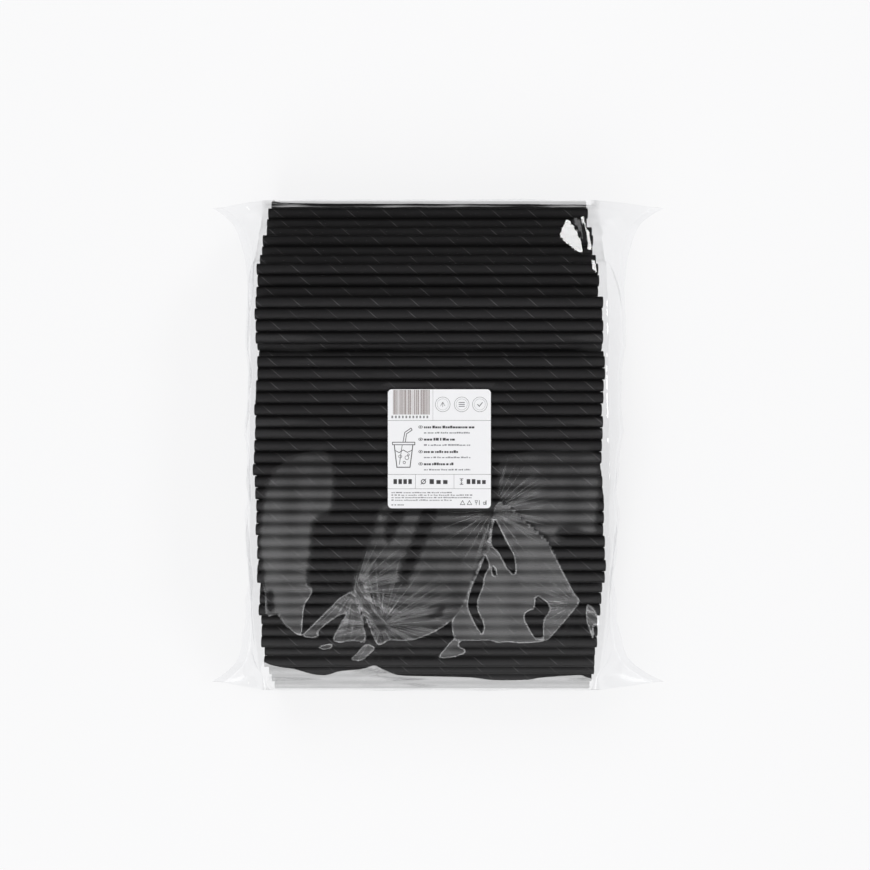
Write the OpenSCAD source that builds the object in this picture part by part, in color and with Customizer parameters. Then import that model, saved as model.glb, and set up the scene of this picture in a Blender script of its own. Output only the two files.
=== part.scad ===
// Clear film bag of black paper drinking straws, lying flat on its broad side.
// The straws run along X. The origin is on the surface the bag lies on, under
// the middle of the bag, with +Z up.

/* [Straws] */
// Number of straws in the bag
straw_count = 500; // [400:10:600]
// Outside diameter of a straw
straw_d = 8; // [6:0.5:10]
// Thickness of the rolled paper wall
straw_wall = 0.4; // [0.3:0.05:0.8]
// Length of a straw
straw_len = 240; // [200:5:280]
// Gap between straws that rest on each other
straw_gap = 0.1; // [0.05:0.05:0.3]

/* [Pile] */
// Rows of straws, one on another
pile_rows = 14; // [12:1:15]
// Straws that the front shoulder loses up to the top row, over one a step
front_slope = 5; // [3:1:6]
// Straws that the back shoulder loses up to the top row, over one a step
back_slope = 3; // [2:1:5]
// Most that two straws of the bottom row stand apart
pile_slack = 0.4; // [0:0.05:0.8]
// Where along the top row the one empty place lies
hole_place = 0.84; // [0.2:0.01:0.9]
// Most that a straw's end stands out of line with the others
end_stagger = 2.6; // [0:0.2:5]

/* [Bag] */
// Thickness of the film
film_t = 0.08; // [0.05:0.01:0.2]
// Gap between the straws and the film
film_gap = 0.4; // [0.2:0.05:0.6]
// How far the left seal's middle stands out past the straws
left_middle = 9; // [4:1:20]
// How far the right seal's middle stands out past the straws
right_middle = 15; // [10:1:24]
// How much more that is at the back than in the middle
right_lean = 7; // [0:1:9]
// How far the left ears stand out past the straws
left_ear = 34; // [20:1:50]
// How far the right ears stand out past the straws
right_ear = 47; // [20:1:60]
// How far in from the bag's side an ear's tip lies
ear_inset = 6; // [2:1:12]
// Height of the seal in the middle of an end
seal_z = 50; // [44:1:56]
// Height of an ear's tip
ear_z = 16; // [12:1:24]
// Width of the flat sealed strip
seal_w = 9; // [6:1:12]
// How far the seal waves in and out
seal_wave = 1.2; // [0:0.2:3]
// Height of the folds that run from the ends into the film over the straws
fold_h = 2.2; // [0:0.2:4]
// Number of those folds at an end
fold_count = 9; // [5:1:12]
// Share of the film between the label and the straws' ends that those folds take up
fold_share = 0.92; // [0.5:0.02:0.96]

/* [Label] */
// Width of the label, along the straws
label_w = 71; // [40:1:100]
// Length of the label, across the straws
label_l = 82; // [40:1:110]
// Thickness of the label
label_t = 0.12; // [0.1:0.02:0.3]
// Radius of the label's corners
label_r = 2.6; // [1:0.2:6]
// Centre of the label, off the bag's middle along the straws
label_x = 0.5; // [-20:0.5:20]
// Centre of the label, off the bag's middle across the straws
label_y = -2; // [-20:1:20]
// Gap under the label
label_gap = 0.05; // [0.02:0.01:0.1]

/* [Hidden] */
$fn = 48;
contact = straw_d + straw_gap;
floor_z = film_t + film_gap + straw_d / 2;

// The film holds a straw at each end of every other row, which stands out past the row below.
// Those outer rows are the ones that are seen from above: the top row, and each second one
// below it. A step is such a row's number from the lowest one.
top = pile_rows - 1;
last_step = floor(top / 2);
function outer(k) = (top - k) % 2 == 0;
function step_of(k) = floor((k + 1 - top % 2) / 2);

// How many straws a slope has lost by a step: one a step, and more where it lies flatter, which
// the front does near the top and the back all the way.
front_bend = 3.5;
back_bend = 1;
function lost(k, slope, bend) =
    let (n = step_of(k)) n + floor(slope * pow(n / last_step, bend) + 0.49);
function front_lost(k) = lost(k, front_slope, front_bend);
function back_lost(k) = lost(k, back_slope, back_bend);
function narrower(k) = front_lost(k) + back_lost(k) + (outer(k) ? 0 : 1);
function total(list, i = 0) = i < len(list) ? list[i] + total(list, i + 1) : 0;

// The widest row is long enough for the count. One straw too many is left out inside the
// top row, and each other one at the back of a high row.
all_narrower = total([for (k = [0 : pile_rows - 1]) narrower(k)]);
widest_count = floor((straw_count + all_narrower) / pile_rows) + 1;
over = pile_rows * widest_count - all_narrower - straw_count;
function short(k) = k > pile_rows - over ? 1 : 0;
function places(k) = widest_count - narrower(k) - short(k);
bottom_count = places(0);
hole = round(hole_place * (places(top) - 1));
function row_count(k) = places(k) - (k == top ? 1 : 0);
function place(k, i) = k == top && i >= hole ? i + 1 : i;

// The bottom row lies on the film with small uneven gaps.
function spread(i) = pile_slack * (0.5 + 0.3 * sin(97 * i) + 0.2 * sin(41 * i + 60));
bottom_y = [for (i = 0, y = 0; i < bottom_count; y = y + contact + spread(i), i = i + 1) y];
bottom_row = [for (y = bottom_y) [y - bottom_y[bottom_count - 1] / 2, floor_z]];

// Each other straw lies in the pocket between two straws of the row below.
function pocket(a, b) =
    let (step = b - a, half = norm(step) / 2, up = sqrt(contact * contact - half * half))
    (a + b) / 2 + [-step[1], step[0]] / norm(step) * up;

// Past the row's ends, a straw touches the end straw below it and its neighbour.
function spot(row, j) =
    let (n = len(row))
    j < 0 ? pocket(row[0], pocket(row[0], row[1])) :
    j > n - 2 ? pocket(pocket(row[n - 2], row[n - 1]), row[n - 1]) :
    pocket(row[j], row[j + 1]);

function row_above(row, k) =
    let (skip = front_lost(k) - front_lost(k - 1) - (outer(k) ? 1 : 0))
    [for (i = [0 : row_count(k) - 1]) spot(row, skip + place(k, i))];
function stack(row, k) = k == top ? [row] : concat([row], stack(row_above(row, k + 1), k + 1));
rows = stack(bottom_row, 0);

// Neighbours share most of their stagger, because handfuls of straws shift together, and
// those at the front lie a little farther right than those at the back.
function stagger(k, i) =
    end_stagger * (0.4 * sin(23 * i + 31 * k) + 0.2 * sin(67 * i + 15) + 0.15 * sin(149 * i + 83 * k)
    + 0.25 * rows[k][i][0] / rows[0][0][0]);

// Outline of the bag's section: the straws' tangents, pushed out by the film's gap.
rim = concat([for (row = rows) each [row[0], row[len(row) - 1]]], rows[top]);
function farthest(way) = let (far = [for (p = rim) p * way]) rim[search(max(far), far)[0]];
wrap = [for (a = [180 : -4 : -176])
    let (way = [cos(a), sin(a)])
    farthest(way) + way * (straw_d / 2 + film_gap)];

// How far round the outline each of its points is.
wrap_n = len(wrap);
function tally(i = 0, far = 0) = i > wrap_n ? [] :
    concat([[i, far]], tally(i + 1, far + norm(wrap[(i + 1) % wrap_n] - wrap[i % wrap_n])));
len_at = tally();
at_len = [for (c = len_at) [c[1], c[0]]];
back_edge = max([for (p = wrap) p[0]]);
back_end = search(back_edge, [for (p = wrap) p[0]])[0];
over_len = len_at[back_end][1];
under_len = len_at[wrap_n][1] - over_len;

// The same outline as points that lie closer where it turns. It starts at the front edge.
// Half of its points are on the film over the straws, and half below those on the film under
// them, so both films give their turns a say in where the points lie.
half_n = 60;
loop_n = 2 * half_n;
step_len = 13;
turn_cost = 0.4;
fine = 500;
function cost(s) =
    over_len * s / step_len
    + turn_cost * (lookup(over_len * s, at_len) - lookup(over_len + under_len * (1 - s), at_len));
share_at = [for (i = [0 : fine]) [cost(i / fine), i / fine]];
share = [for (j = [0 : half_n]) lookup(cost(0) + (cost(1) - cost(0)) * j / half_n, share_at)];
function seal_share(j) = j < half_n ? share[j] : share[loop_n - j];
function wrap_point(s) =
    let (u = lookup(s, at_len), i = floor(u), f = u - i)
    wrap[i % wrap_n] * (1 - f) + wrap[(i + 1) % wrap_n] * f;
outline = [for (j = [0 : loop_n - 1])
    wrap_point(j < half_n ? over_len * seal_share(j) : over_len + under_len * (1 - seal_share(j)))];
normals = [for (j = [0 : loop_n - 1])
    let (step = outline[(j + 1) % loop_n] - outline[(j + loop_n - 1) % loop_n])
    [-step[1], step[0]] / norm(step)];

ends_x = straw_len / 2 + end_stagger + film_gap;

// The bag's middle is placed so that the ears on both ends are as far from the origin.
middle_x = (left_ear - right_ear) / 2;
fold_len = fold_share * (ends_x - label_w / 2 - abs(label_x - middle_x));

// The seal runs from ear to ear, from u = -1 to 1, and is highest in its middle. Far says how
// far out past the straws it lies: its middle, how much more that is at the back, its ears.
function seal_point(u, far) =
    let (calm = 1 - pow(abs(u), 4), wave = sin(900 * u + 40) + 0.5 * sin(2100 * u))
    [far[0] + far[1] * u * calm + (far[2] - far[0]) * pow(abs(u), 12) + seal_wave * calm * wave,
     u * seal_half,
     seal_z - (seal_z - ear_z) * pow(abs(u), 2.2)];
seal_half = back_edge - ear_inset;
function droop(u) = 68 - 50 * pow(abs(u), 3);

// Folds in the film over the straws: none at the ears, highest at the straws' ends.
function folds(j) = j >= half_n ? 0 :
    fold_h * (1 - pow(2 * share[j] - 1, 6)) * pow(0.5 + 0.5 * cos(360 * fold_count * share[j]), 2)
    * (0.7 + 0.3 * sin(4300 * share[j]));

// Which way the skin is pushed at the seal to give it a thickness: the two films apart from
// each other, and an ear's tip along the seal.
tip_push = 8;
function apart(j, u, far) =
    let (tip = seal_point(u, far) - seal_point(0.99 * u, far))
    j % half_n == 0 ? (tip / norm(tip) + [0, u / 2, 0]) * tip_push : [0, 0, j < half_n ? 1 : -1];
function push(j, u, t, far, out) =
    [out, 0, 0] + (concat([0], normals[j]) * (1 - t) + apart(j, u, far) * t) * out;

// A point of the straight part, at a distance from the straws' ends.
function body_point(j, inset, out) =
    let (p = outline[j] + normals[j] * (out + folds(j) * pow(max(0, 1 - inset / fold_len), 1.5)))
    [-inset, p[0], p[1]];

// A point of the closed end, from the straws' ends at t = 0 to the seal at t = 1.
function end_point(j, u, t, far, out) =
    let (a = concat([0], outline[j]), b = seal_point(u, far), way = b - a,
         fold = concat([3 * t], normals[j]) * folds(j) * (1 - t))
    a + [way[0] * pow(t, 0.85), way[1] * pow(t, 1.25), way[2] * pow(t, 1.25)]
    + fold + push(j, u, t, far, out);

// A point of the sealed strip, which hangs down in the middle and stands out at the ears.
function strip_point(j, u, t, far, out) =
    let (a = droop(u), lift = apart(j, u, far), film = [sin(a) * lift[2], 0, cos(a) * lift[2]])
    seal_point(u, far) + [cos(a), 0, -sin(a)] * seal_w * t + [out, 0, 0]
    + (j % half_n == 0 ? lift : film) * out;

inner_push = 0.01;
inner_trim = 0.006;
insets = [fold_len, 0.55 * fold_len, 0.22 * fold_len];
steps = [0, 0.14, 0.32, 0.55, 0.8, 1];

function placed(side, p) = [side * (ends_x + p[0]), p[1], p[2]];
function half_bag(side, far, out) =
    let (trim = out > 0 ? 0 : inner_trim,
         us = [for (j = [0 : loop_n - 1])
             let (u = 2 * seal_share(j) - 1)
             u * (1 - trim * pow(abs(u), 40))])
    concat(
        [for (d = insets) [for (j = [0 : loop_n - 1]) placed(side, body_point(j, d, out))]],
        [for (t = steps) [for (j = [0 : loop_n - 1])
            placed(side, end_point(j, us[j], t, far, max(out, inner_push * t)))]],
        out == 0 ? [] : [for (t = [0.5, 1]) [for (j = [0 : loop_n - 1])
            placed(side, strip_point(j, us[j], t, far, out))]]);
function backwards(list) = [for (i = [len(list) - 1 : -1 : 0]) list[i]];

// A closed skin over rings of points, with a fan at each end.
module skin(rings) {
    n = loop_n;
    m = len(rings);
    walls = [for (i = [0 : m - 2], j = [0 : n - 1])
        let (k = (j + 1) % n)
        each [[i * n + j, i * n + k, (i + 1) * n + k], [i * n + j, (i + 1) * n + k, (i + 1) * n + j]]];
    first = [for (j = [1 : half_n - 1]) each end_cap(j, 0, false)];
    last = [for (j = [1 : half_n - 1]) each end_cap(j, (m - 1) * n, true)];
    polyhedron([for (r = rings) each r], concat(walls, first, last));
}

// The flat end of a ring, as a ladder between its upper and its lower points.
function end_cap(j, base, flip) =
    let (a = base + j - 1, b = base + j,
         c = base + (loop_n - j) % loop_n, d = base + (loop_n - j + 1) % loop_n,
         faces = j == 1 ? [[b, a, c]] : [[b, a, c], [a, d, c]],
         end = j == half_n - 1 ? [[base + half_n, b, c]] : [])
    [for (f = concat(faces, end)) flip ? [f[2], f[1], f[0]] : f];

module bag_skin(out) {
    skin(concat(
        backwards(half_bag(-1, [left_middle, 0, left_ear], out)),
        half_bag(1, [right_middle, right_lean, right_ear], out)));
}

module film_bag() {
    color([0.86, 0.88, 0.9, 0.3])
    translate([middle_x, 0, 0])
    difference() {
        bag_skin(film_t);
        bag_skin(0);
    }
}

// A straw is a rolled paper tube, open at both ends.
module straw() {
    rotate([0, 90, 0])
    difference() {
        cylinder(d = straw_d, h = straw_len, center = true);
        cylinder(d = straw_d - 2 * straw_wall, h = straw_len + 2, center = true);
    }
}

module placed_straw(k, i) {
    color([0.045, 0.043, 0.045])
    translate([middle_x + stagger(k, i), rows[k][i][0], rows[k][i][1]])
    straw();
}

module straw_row(k) {
    for (i = [0 : len(rows[k]) - 1]) placed_straw(k, i);
}

// The label lies on the film and follows its top.
film_top = [for (j = [0 : half_n]) outline[j] + normals[j] * film_t];
label_steps = 20;
function label_edge(up) = [for (i = [0 : label_steps])
    let (y = label_y - label_l / 2 + label_l * i / label_steps)
    [y, lookup(y, film_top) + up]];

module paper_label() {
    color([0.93, 0.93, 0.95])
    intersection() {
        translate([label_x - label_w / 2, 0, 0])
        rotate([90, 0, 90])
        linear_extrude(label_w)
        polygon(concat(label_edge(label_gap), backwards(label_edge(label_gap + label_t))));

        translate([label_x, label_y, 0])
        linear_extrude(2 * pile_rows * straw_d)
        rounded_card(label_w, label_l, label_r);
    }
}

module rounded_card(w, l, r) {
    union() {
        square([w - 2 * r, l], center = true);
        square([w, l - 2 * r], center = true);
        for (sx = [-1, 1], sy = [-1, 1])
            translate([sx * (w / 2 - r), sy * (l / 2 - r)]) circle(r);
    }
}

function two(i) = i < 10 ? str("0", i) : str(i);
ROW_NAMES = [for (k = [0 : top - 1]) str("straw_row_", two(k + 1))];
TOP_NAMES = [for (i = [0 : row_count(top) - 1]) str("top_straw_", two(i + 1))];

film_bag();
paper_label();
for (k = [0 : top - 1])
    straw_row(k);
for (i = [0 : row_count(top) - 1])
    placed_straw(top, i);
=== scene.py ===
"""Looks of a clear film bag of black paper drinking straws, lying on its broad side.

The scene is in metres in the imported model's frame: the straws run along X, +Z is up. The sizes of the
pile, the bag and the label are in mm.
"""

import logging
import math
from dataclasses import dataclass, field
from enum import Enum
from typing import Any, Sequence

import bmesh
import bpy
import numpy as np
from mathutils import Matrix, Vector


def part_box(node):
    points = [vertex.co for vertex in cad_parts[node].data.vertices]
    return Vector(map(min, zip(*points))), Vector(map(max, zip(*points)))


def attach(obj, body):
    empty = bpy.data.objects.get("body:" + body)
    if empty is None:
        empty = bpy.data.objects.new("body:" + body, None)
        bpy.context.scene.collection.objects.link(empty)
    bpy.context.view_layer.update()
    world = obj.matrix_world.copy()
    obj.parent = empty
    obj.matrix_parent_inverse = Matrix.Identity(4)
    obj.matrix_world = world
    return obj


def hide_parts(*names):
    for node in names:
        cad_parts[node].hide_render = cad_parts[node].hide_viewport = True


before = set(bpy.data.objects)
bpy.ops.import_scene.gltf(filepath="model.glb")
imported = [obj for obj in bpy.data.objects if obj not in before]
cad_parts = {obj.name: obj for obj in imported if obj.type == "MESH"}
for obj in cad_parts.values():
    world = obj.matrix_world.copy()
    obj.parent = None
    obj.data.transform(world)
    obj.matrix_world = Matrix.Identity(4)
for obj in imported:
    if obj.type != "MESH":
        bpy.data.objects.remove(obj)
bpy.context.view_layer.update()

log = logging.getLogger("straw_bag")
MM = 0.001
ROOT = "root"

Point = tuple[float, float]
Spot = tuple[float, float, float]
Colour = tuple[float, float, float, float]


# Node building


class Sock:
    """An output socket whose Python operators add Math nodes."""

    def __init__(self, shop: "NodeShop", socket: bpy.types.NodeSocket) -> None:
        """Keep the socket and the tree it is in."""
        self.shop = shop
        self.socket = socket

    def _maths(self, operation: str, *values: Any) -> "Sock":
        """Add a Math node on these values."""
        node = self.shop.add("ShaderNodeMath", {"operation": operation}, dict(enumerate(values)))
        return Sock(self.shop, node.outputs[0])

    def __add__(self, other: Any) -> "Sock":
        """self + other."""
        return self._maths("ADD", self, other)

    __radd__ = __add__

    def __sub__(self, other: Any) -> "Sock":
        """self - other."""
        return self._maths("SUBTRACT", self, other)

    def __rsub__(self, other: Any) -> "Sock":
        """other - self."""
        return self._maths("SUBTRACT", other, self)

    def __mul__(self, other: Any) -> "Sock":
        """self * other."""
        return self._maths("MULTIPLY", self, other)

    __rmul__ = __mul__

    def __truediv__(self, other: Any) -> "Sock":
        """self / other."""
        return self._maths("DIVIDE", self, other)

    def __rtruediv__(self, other: Any) -> "Sock":
        """other / self."""
        return self._maths("DIVIDE", other, self)

    def __gt__(self, other: Any) -> "Sock":
        """1 where self > other, else 0."""
        return self._maths("GREATER_THAN", self, other)

    def __lt__(self, other: Any) -> "Sock":
        """1 where self < other, else 0."""
        return self._maths("LESS_THAN", self, other)

    def __abs__(self) -> "Sock":
        """abs(self)."""
        return self._maths("ABSOLUTE", self)

    def fract(self) -> "Sock":
        """What self has past its whole number."""
        return self._maths("FRACT", self)

    def sine(self) -> "Sock":
        """sin(self)."""
        return self._maths("SINE", self)

    def cosine(self) -> "Sock":
        """cos(self)."""
        return self._maths("COSINE", self)

    def angle(self, other: Any) -> "Sock":
        """atan2(self, other)."""
        return self._maths("ARCTAN2", self, other)

    def root(self) -> "Sock":
        """The square root of self."""
        return self._maths("SQRT", self)

    def step(self, low: float, high: float) -> "Sock":
        """0 where self is under low, 1 where it is over high, and smooth between them.

        Args:
            low: Value where the step starts.
            high: Value where it ends; under low for a falling step.
        Returns:
            The step.
        """
        node = self.shop.add(
            "ShaderNodeMapRange",
            {"interpolation_type": "SMOOTHSTEP"},
            {"Value": self, "From Min": min(low, high), "From Max": max(low, high)},
        )
        rise = Sock(self.shop, node.outputs["Result"])
        return rise if low < high else 1 - rise


class NodeShop:
    """Adds and links the nodes of one tree."""

    def __init__(self, tree: bpy.types.NodeTree) -> None:
        """Work on this tree."""
        self.tree = tree

    def add(self, kind: str, settings: dict | None = None, inputs: dict | None = None) -> bpy.types.Node:
        """Add one node.

        Args:
            kind: The node's type name.
            settings: Its properties, which are set first.
            inputs: Values or links of its sockets, by name or by number.
        Returns:
            The node.
        """
        node = self.tree.nodes.new(kind)
        for name, value in (settings or {}).items():
            setattr(node, name, value)
        for name, value in (inputs or {}).items():
            into = node.inputs[name]
            if isinstance(value, Sock):
                value = value.socket
            if isinstance(value, bpy.types.NodeSocket):
                self.tree.links.new(value, into)
            else:
                into.default_value = value
        return node

    def out(self, kind: str, output: str | int = 0, settings: dict | None = None,
            inputs: dict | None = None) -> Sock:
        """Add a node and wrap one of its outputs.

        Args:
            kind: The node's type name.
            output: Which output, by name or number.
            settings: As in add.
            inputs: As in add.
        Returns:
            The wrapped output.
        """
        return Sock(self, self.add(kind, settings, inputs).outputs[output])

    def vector(self, operation: str, *values: Any) -> Sock:
        """A Vector Math node's vector output."""
        named = {0: values[0], "Scale": values[1]} if operation == "SCALE" else dict(enumerate(values))
        return self.out("ShaderNodeVectorMath", 0, {"operation": operation}, named)

    def blend(self, share: Any, low: Any, high: Any) -> Sock:
        """The colour low where share is 0 and high where it is 1."""
        return self.out("ShaderNodeMix", 2, {"data_type": "RGBA"}, {0: share, 6: low, 7: high})

    def place(self) -> Sock:
        """Object coordinates, in metres."""
        return self.out("ShaderNodeTexCoord", "Object")

    def parts(self, vector: Any) -> tuple[Sock, ...]:
        """X, Y and Z of a vector."""
        node = self.add("ShaderNodeSeparateXYZ", inputs={0: vector})
        return tuple(Sock(self, o) for o in node.outputs)

    def noise(self, at: Any, scale: float, detail: float = 3.0, stretch: Spot = (1, 1, 1)) -> Sock:
        """Noise from 0 to 1, its size as scale per metre, stretched along an axis by a small factor."""
        moved = self.vector("MULTIPLY", at, stretch)
        return self.out("ShaderNodeTexNoise", 0, None, {"Vector": moved, "Scale": scale, "Detail": detail})

    def bump(self, strength: float, distance: float, height: Any) -> Sock:
        """A normal bumped by this height, which counts as distance in metres."""
        inputs = {"Strength": strength, "Distance": distance, "Height": height}
        return self.out("ShaderNodeBump", 0, None, inputs)

    def matte(self, base: Any, roughness: Any, **more: Any) -> Sock:
        """A Principled shader of this colour and roughness, and with what more names."""
        inputs = {"Base Color": base, "Roughness": roughness, **more}
        return self.out("ShaderNodeBsdfPrincipled", 0, None, inputs)

    def mixed(self, share: Any, first: Sock, second: Sock) -> Sock:
        """The shader first where share is 0 and second where it is 1."""
        return self.out("ShaderNodeMixShader", 0, None, {0: share, 1: first, 2: second})

    def attribute(self, name: str, output: str = "Fac") -> Sock:
        """A named attribute of the mesh."""
        return self.out("ShaderNodeAttribute", output, {"attribute_name": name})


class Finish:
    """A material that is built on first use."""

    name: str = "finish"
    slot: str = ""

    def material(self) -> bpy.types.Material:
        """Make the material, or find it where it is made already.

        Returns:
            The material.
        """
        known = bpy.data.materials.get(self.name)
        if known:
            return known
        made = bpy.data.materials.new(self.name)
        made.use_nodes = True
        made.node_tree.nodes.clear()
        shop = NodeShop(made.node_tree)
        shop.add("ShaderNodeOutputMaterial", inputs={"Surface": self.surface(shop)})
        return made

    def surface(self, shop: NodeShop) -> Sock:
        """The shader; each finish has its own."""
        raise NotImplementedError


# Finishes


@dataclass(frozen=True)
class StrawPaper(Finish):
    """Matte black paper, wound on a slant, with a faint lighter seam and short fibres.

    winding is how far the seam goes along the straw in one turn, turn_length is once round the straw, and
    unit is the real size of one unit of the straw's UV map. The tones go from the painted shade on a straw's
    sides, which stands in for the dark groove between straws that little light reaches, to the seam.
    """

    name: str = "wound_straw_paper"
    slot: str = "black_paper"
    winding: float = 27.2 * MM
    seam_width: float = 0.75 * MM
    unit: float = 0.5
    turn_length: float = 25.1 * MM
    painted_flank_shade: Colour = (0.0015, 0.0014, 0.0015, 1)
    deep: Colour = (0.0125, 0.0120, 0.0126, 1)
    pale: Colour = (0.0190, 0.0182, 0.0190, 1)
    edge_tone: Colour = (0.016, 0.0155, 0.016, 1)
    fibre_tone: Colour = (0.036, 0.035, 0.037, 1)
    fleck_tone: Colour = (0.07, 0.068, 0.068, 1)
    seam_tone: Colour = (0.095, 0.093, 0.096, 1)

    def surface(self, shop: NodeShop) -> Sock:
        """Paper tone, seam and fibre, from the straw's own map and the place along it, and painted shade on
        the sides.

        Args:
            shop: The tree's node shop.
        Returns:
            The shader.
        """
        at = shop.place()
        along, _, _ = shop.parts(at)
        across, _, _ = shop.parts(shop.out("ShaderNodeUVMap", 0, {"uv_map": "UVMap"}))
        turn = across * (self.unit / self.turn_length)
        start = shop.attribute("seam_start")
        whole_turns = 20.0
        lap = (along / self.winding - turn + start + whole_turns).fract()
        from_seam = abs(lap - 0.5) * self.winding
        seam = from_seam.step(self.seam_width * 0.65, self.seam_width * 0.2)
        lap_edge = lap.step(0.5, 0.56) * lap.step(1.0, 0.62)
        worn = shop.noise(at, 160.0, 2.0).step(0.38, 0.6)
        tone = shop.noise(at, 26.0, 2.0)
        fibre = shop.noise(at, 2600.0, 4.0, (0.35, 1, 1)).step(0.56, 0.75)
        fleck = shop.noise(at, 1500.0, 1.0).step(0.73, 0.78)
        base = shop.blend(tone, self.deep, self.pale)
        base = shop.blend(fibre * 0.5, base, self.fibre_tone)
        base = shop.blend(fleck * 0.6, base, self.fleck_tone)
        base = shop.blend(lap_edge * 0.25, base, self.edge_tone)
        base = shop.blend(seam * (0.4 + 0.6 * worn), base, self.seam_tone)
        # Painted shade: the base colour darkens where the straw's side turns away, to deepen the grooves
        # between straws.
        toward = 1 - shop.out("ShaderNodeLayerWeight", "Facing", None, {"Blend": 0.5})
        base = shop.blend(0.2 + 0.8 * toward.step(0.5, 1.0), self.painted_flank_shade, base)
        relief = fibre * 0.35 + seam * 0.5 + lap.step(0.47, 0.53)
        more = {"Specular IOR Level": 0.32, "Normal": shop.bump(0.35, 0.06 * MM, relief)}
        return shop.matte(base, 0.62 + 0.16 * fibre, **more)


@dataclass(frozen=True)
class ClearFilm(Finish):
    """Clear glossy film: see-through, with reflections that its folds break up, and painted highlights of
    white on fold lips and creases.

    cling and facet_cling are how far the film sinks between straws, in mm, off and on the lit facets.
    end_calm is the share of the reflection that the gathered ends lose. lip_lean and crease_lean are how far
    the normal leans to the front on a fold's lip and on a crease. fans holds the points that creases fan out
    of, as x, y and the creases' reach, and rib is the width of one rib of the heat seal.
    """

    name: str = "clear_bag_film"
    slot: str = "clear_film"
    roughness: float = 0.035
    tint: Colour = (0.99, 0.991, 0.994, 1)
    milk_and_highlight: Colour = (0.86, 0.87, 0.89, 1)
    index: float = 1.5
    cling: float = 0.08
    facet_cling: float = 0.06
    end_calm: float = 0.8
    lip_lean: float = 0.36
    crease_lean: float = 0.16
    fans: tuple[Spot, ...] = (
        (-0.0588, -0.1002, 0.05),
        (-0.0405, -0.1255, 0.06),
        (0.037, -0.045, 0.045),
        (0.096, -0.110, 0.04),
    )
    rib: float = 1.1 * MM

    def fan(self, shop: NodeShop, at: Sock, x: float, y: float, reach: float) -> Sock:
        """Thin creases that fan out of one point.

        Args:
            shop: The tree's node shop.
            at: The place on the film.
            x: The point, along the straws.
            y: The point, across them.
            reach: How far the creases run.
        Returns:
            1 on a crease, 0 off it.
        """
        dx, dy, _ = shop.parts(shop.vector("SUBTRACT", at, (x, y, 0.0)))
        turn = dy.angle(dx)
        far = (dx * dx + dy * dy).root()
        spokes = shop.out(
            "ShaderNodeTexNoise", 0, {"noise_dimensions": "2D"},
            {"Vector": shop.out("ShaderNodeCombineXYZ", 0, None, {0: turn * 5.0, 1: far * 9.0 + x}),
             "Scale": 1.0, "Detail": 2.0},
        )
        line = abs(spokes - 0.5).step(0.06, 0.01)
        return line * far.step(reach, reach * 0.25) * far.step(0.002, 0.01)

    def ribs(self, shop: NodeShop, at: Sock) -> Sock:
        """Height of the fine ribs of the heat seal, from 0 to 1."""
        _, across, _ = shop.parts(at)
        return (across * (2 * math.pi / self.rib)).sine() * 0.5 + 0.5

    def surface(self, shop: NodeShop) -> Sock:
        """Reflection over see-through, more of it at a glance, with facets, ripples and creases, and painted
        highlights of white on fold lips and creases.

        Args:
            shop: The tree's node shop.
        Returns:
            The shader.
        """
        at = shop.place()
        edge = shop.attribute("facet_edge")
        plane = shop.attribute("facet_normal", "Vector")
        at_end = shop.attribute("at_end")
        seal = shop.attribute("seal")
        calm = 1 - shop.attribute("under_label")
        inside = edge.step(-0.22, 0.22)
        lip = abs(edge + 0.2).step(0.65, 0.15) * shop.attribute("facet_crisp")
        soft = shop.noise(at, 30.0, 1.5, (1, 0.6, 1))
        ripple = shop.noise(at, 170.0, 3.0, (1, 0.35, 1))
        creases = self.fan(shop, at, *self.fans[0])
        for spot in self.fans[1:]:
            creases = creases + self.fan(shop, at, *spot)
        creases = creases * (0.25 + 0.75 * inside)
        hold = self.cling - (self.cling - self.facet_cling) * inside
        over_straws = (shop.attribute("straw_phase") * (2 * math.pi)).sine() * hold * (1 - at_end)
        relief = soft * 0.55 + ripple * 0.05 + lip * 0.04 + creases * 0.03 + over_straws
        relief = relief + seal * (self.ribs(shop, at) * 0.06)
        bump = shop.bump(1.0, 1.0 * MM, relief * calm)
        geometry = shop.add("ShaderNodeNewGeometry")
        own = Sock(shop, geometry.outputs["Normal"])
        from_inside = Sock(shop, geometry.outputs["Backfacing"])
        side = 1 - 2 * from_inside
        level = shop.vector("SCALE", (0.0, 0.0, 1.0), 1 - inside)
        target = shop.vector("ADD", shop.vector("SCALE", plane, inside), level)
        raised = (lip * self.lip_lean + creases * self.crease_lean) * calm
        target = shop.vector("ADD", target, shop.vector("SCALE", (0.0, -1.0, 0.0), raised))
        turned = shop.vector("SUBTRACT", shop.vector("SCALE", shop.vector("NORMALIZE", target), side), own)
        turned = shop.vector("SCALE", turned, shop.attribute("drawn_flat"))
        normal = shop.vector("NORMALIZE", shop.vector("ADD", bump, turned))
        index = self.index + (1 / self.index - self.index) * from_inside
        one_face = shop.out("ShaderNodeFresnel", 0, None, {"IOR": index, "Normal": normal})
        share = 2 * one_face / (1 + one_face) * (1 - self.end_calm * at_end)
        clear = shop.out("ShaderNodeBsdfTransparent", 0, None, {"Color": self.tint})
        gloss = shop.out(
            "ShaderNodeBsdfAnisotropic", 0, {"distribution": "GGX"},
            {"Color": (1, 1, 1, 1), "Roughness": self.roughness, "Normal": normal},
        )
        milk_and_highlight = shop.out("ShaderNodeBsdfDiffuse", 0, None, {"Color": self.milk_and_highlight})
        # Painted highlight: white milk along fold lips and creases stands in for their glints, partly the
        # real whitening of creased film; the seal's milk and the small even share are the film's own.
        haze = (lip * 0.06 + creases * 0.015) * calm + seal * 0.04 + 0.0008
        return shop.mixed(haze, shop.mixed(share, clear, gloss), milk_and_highlight)


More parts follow.
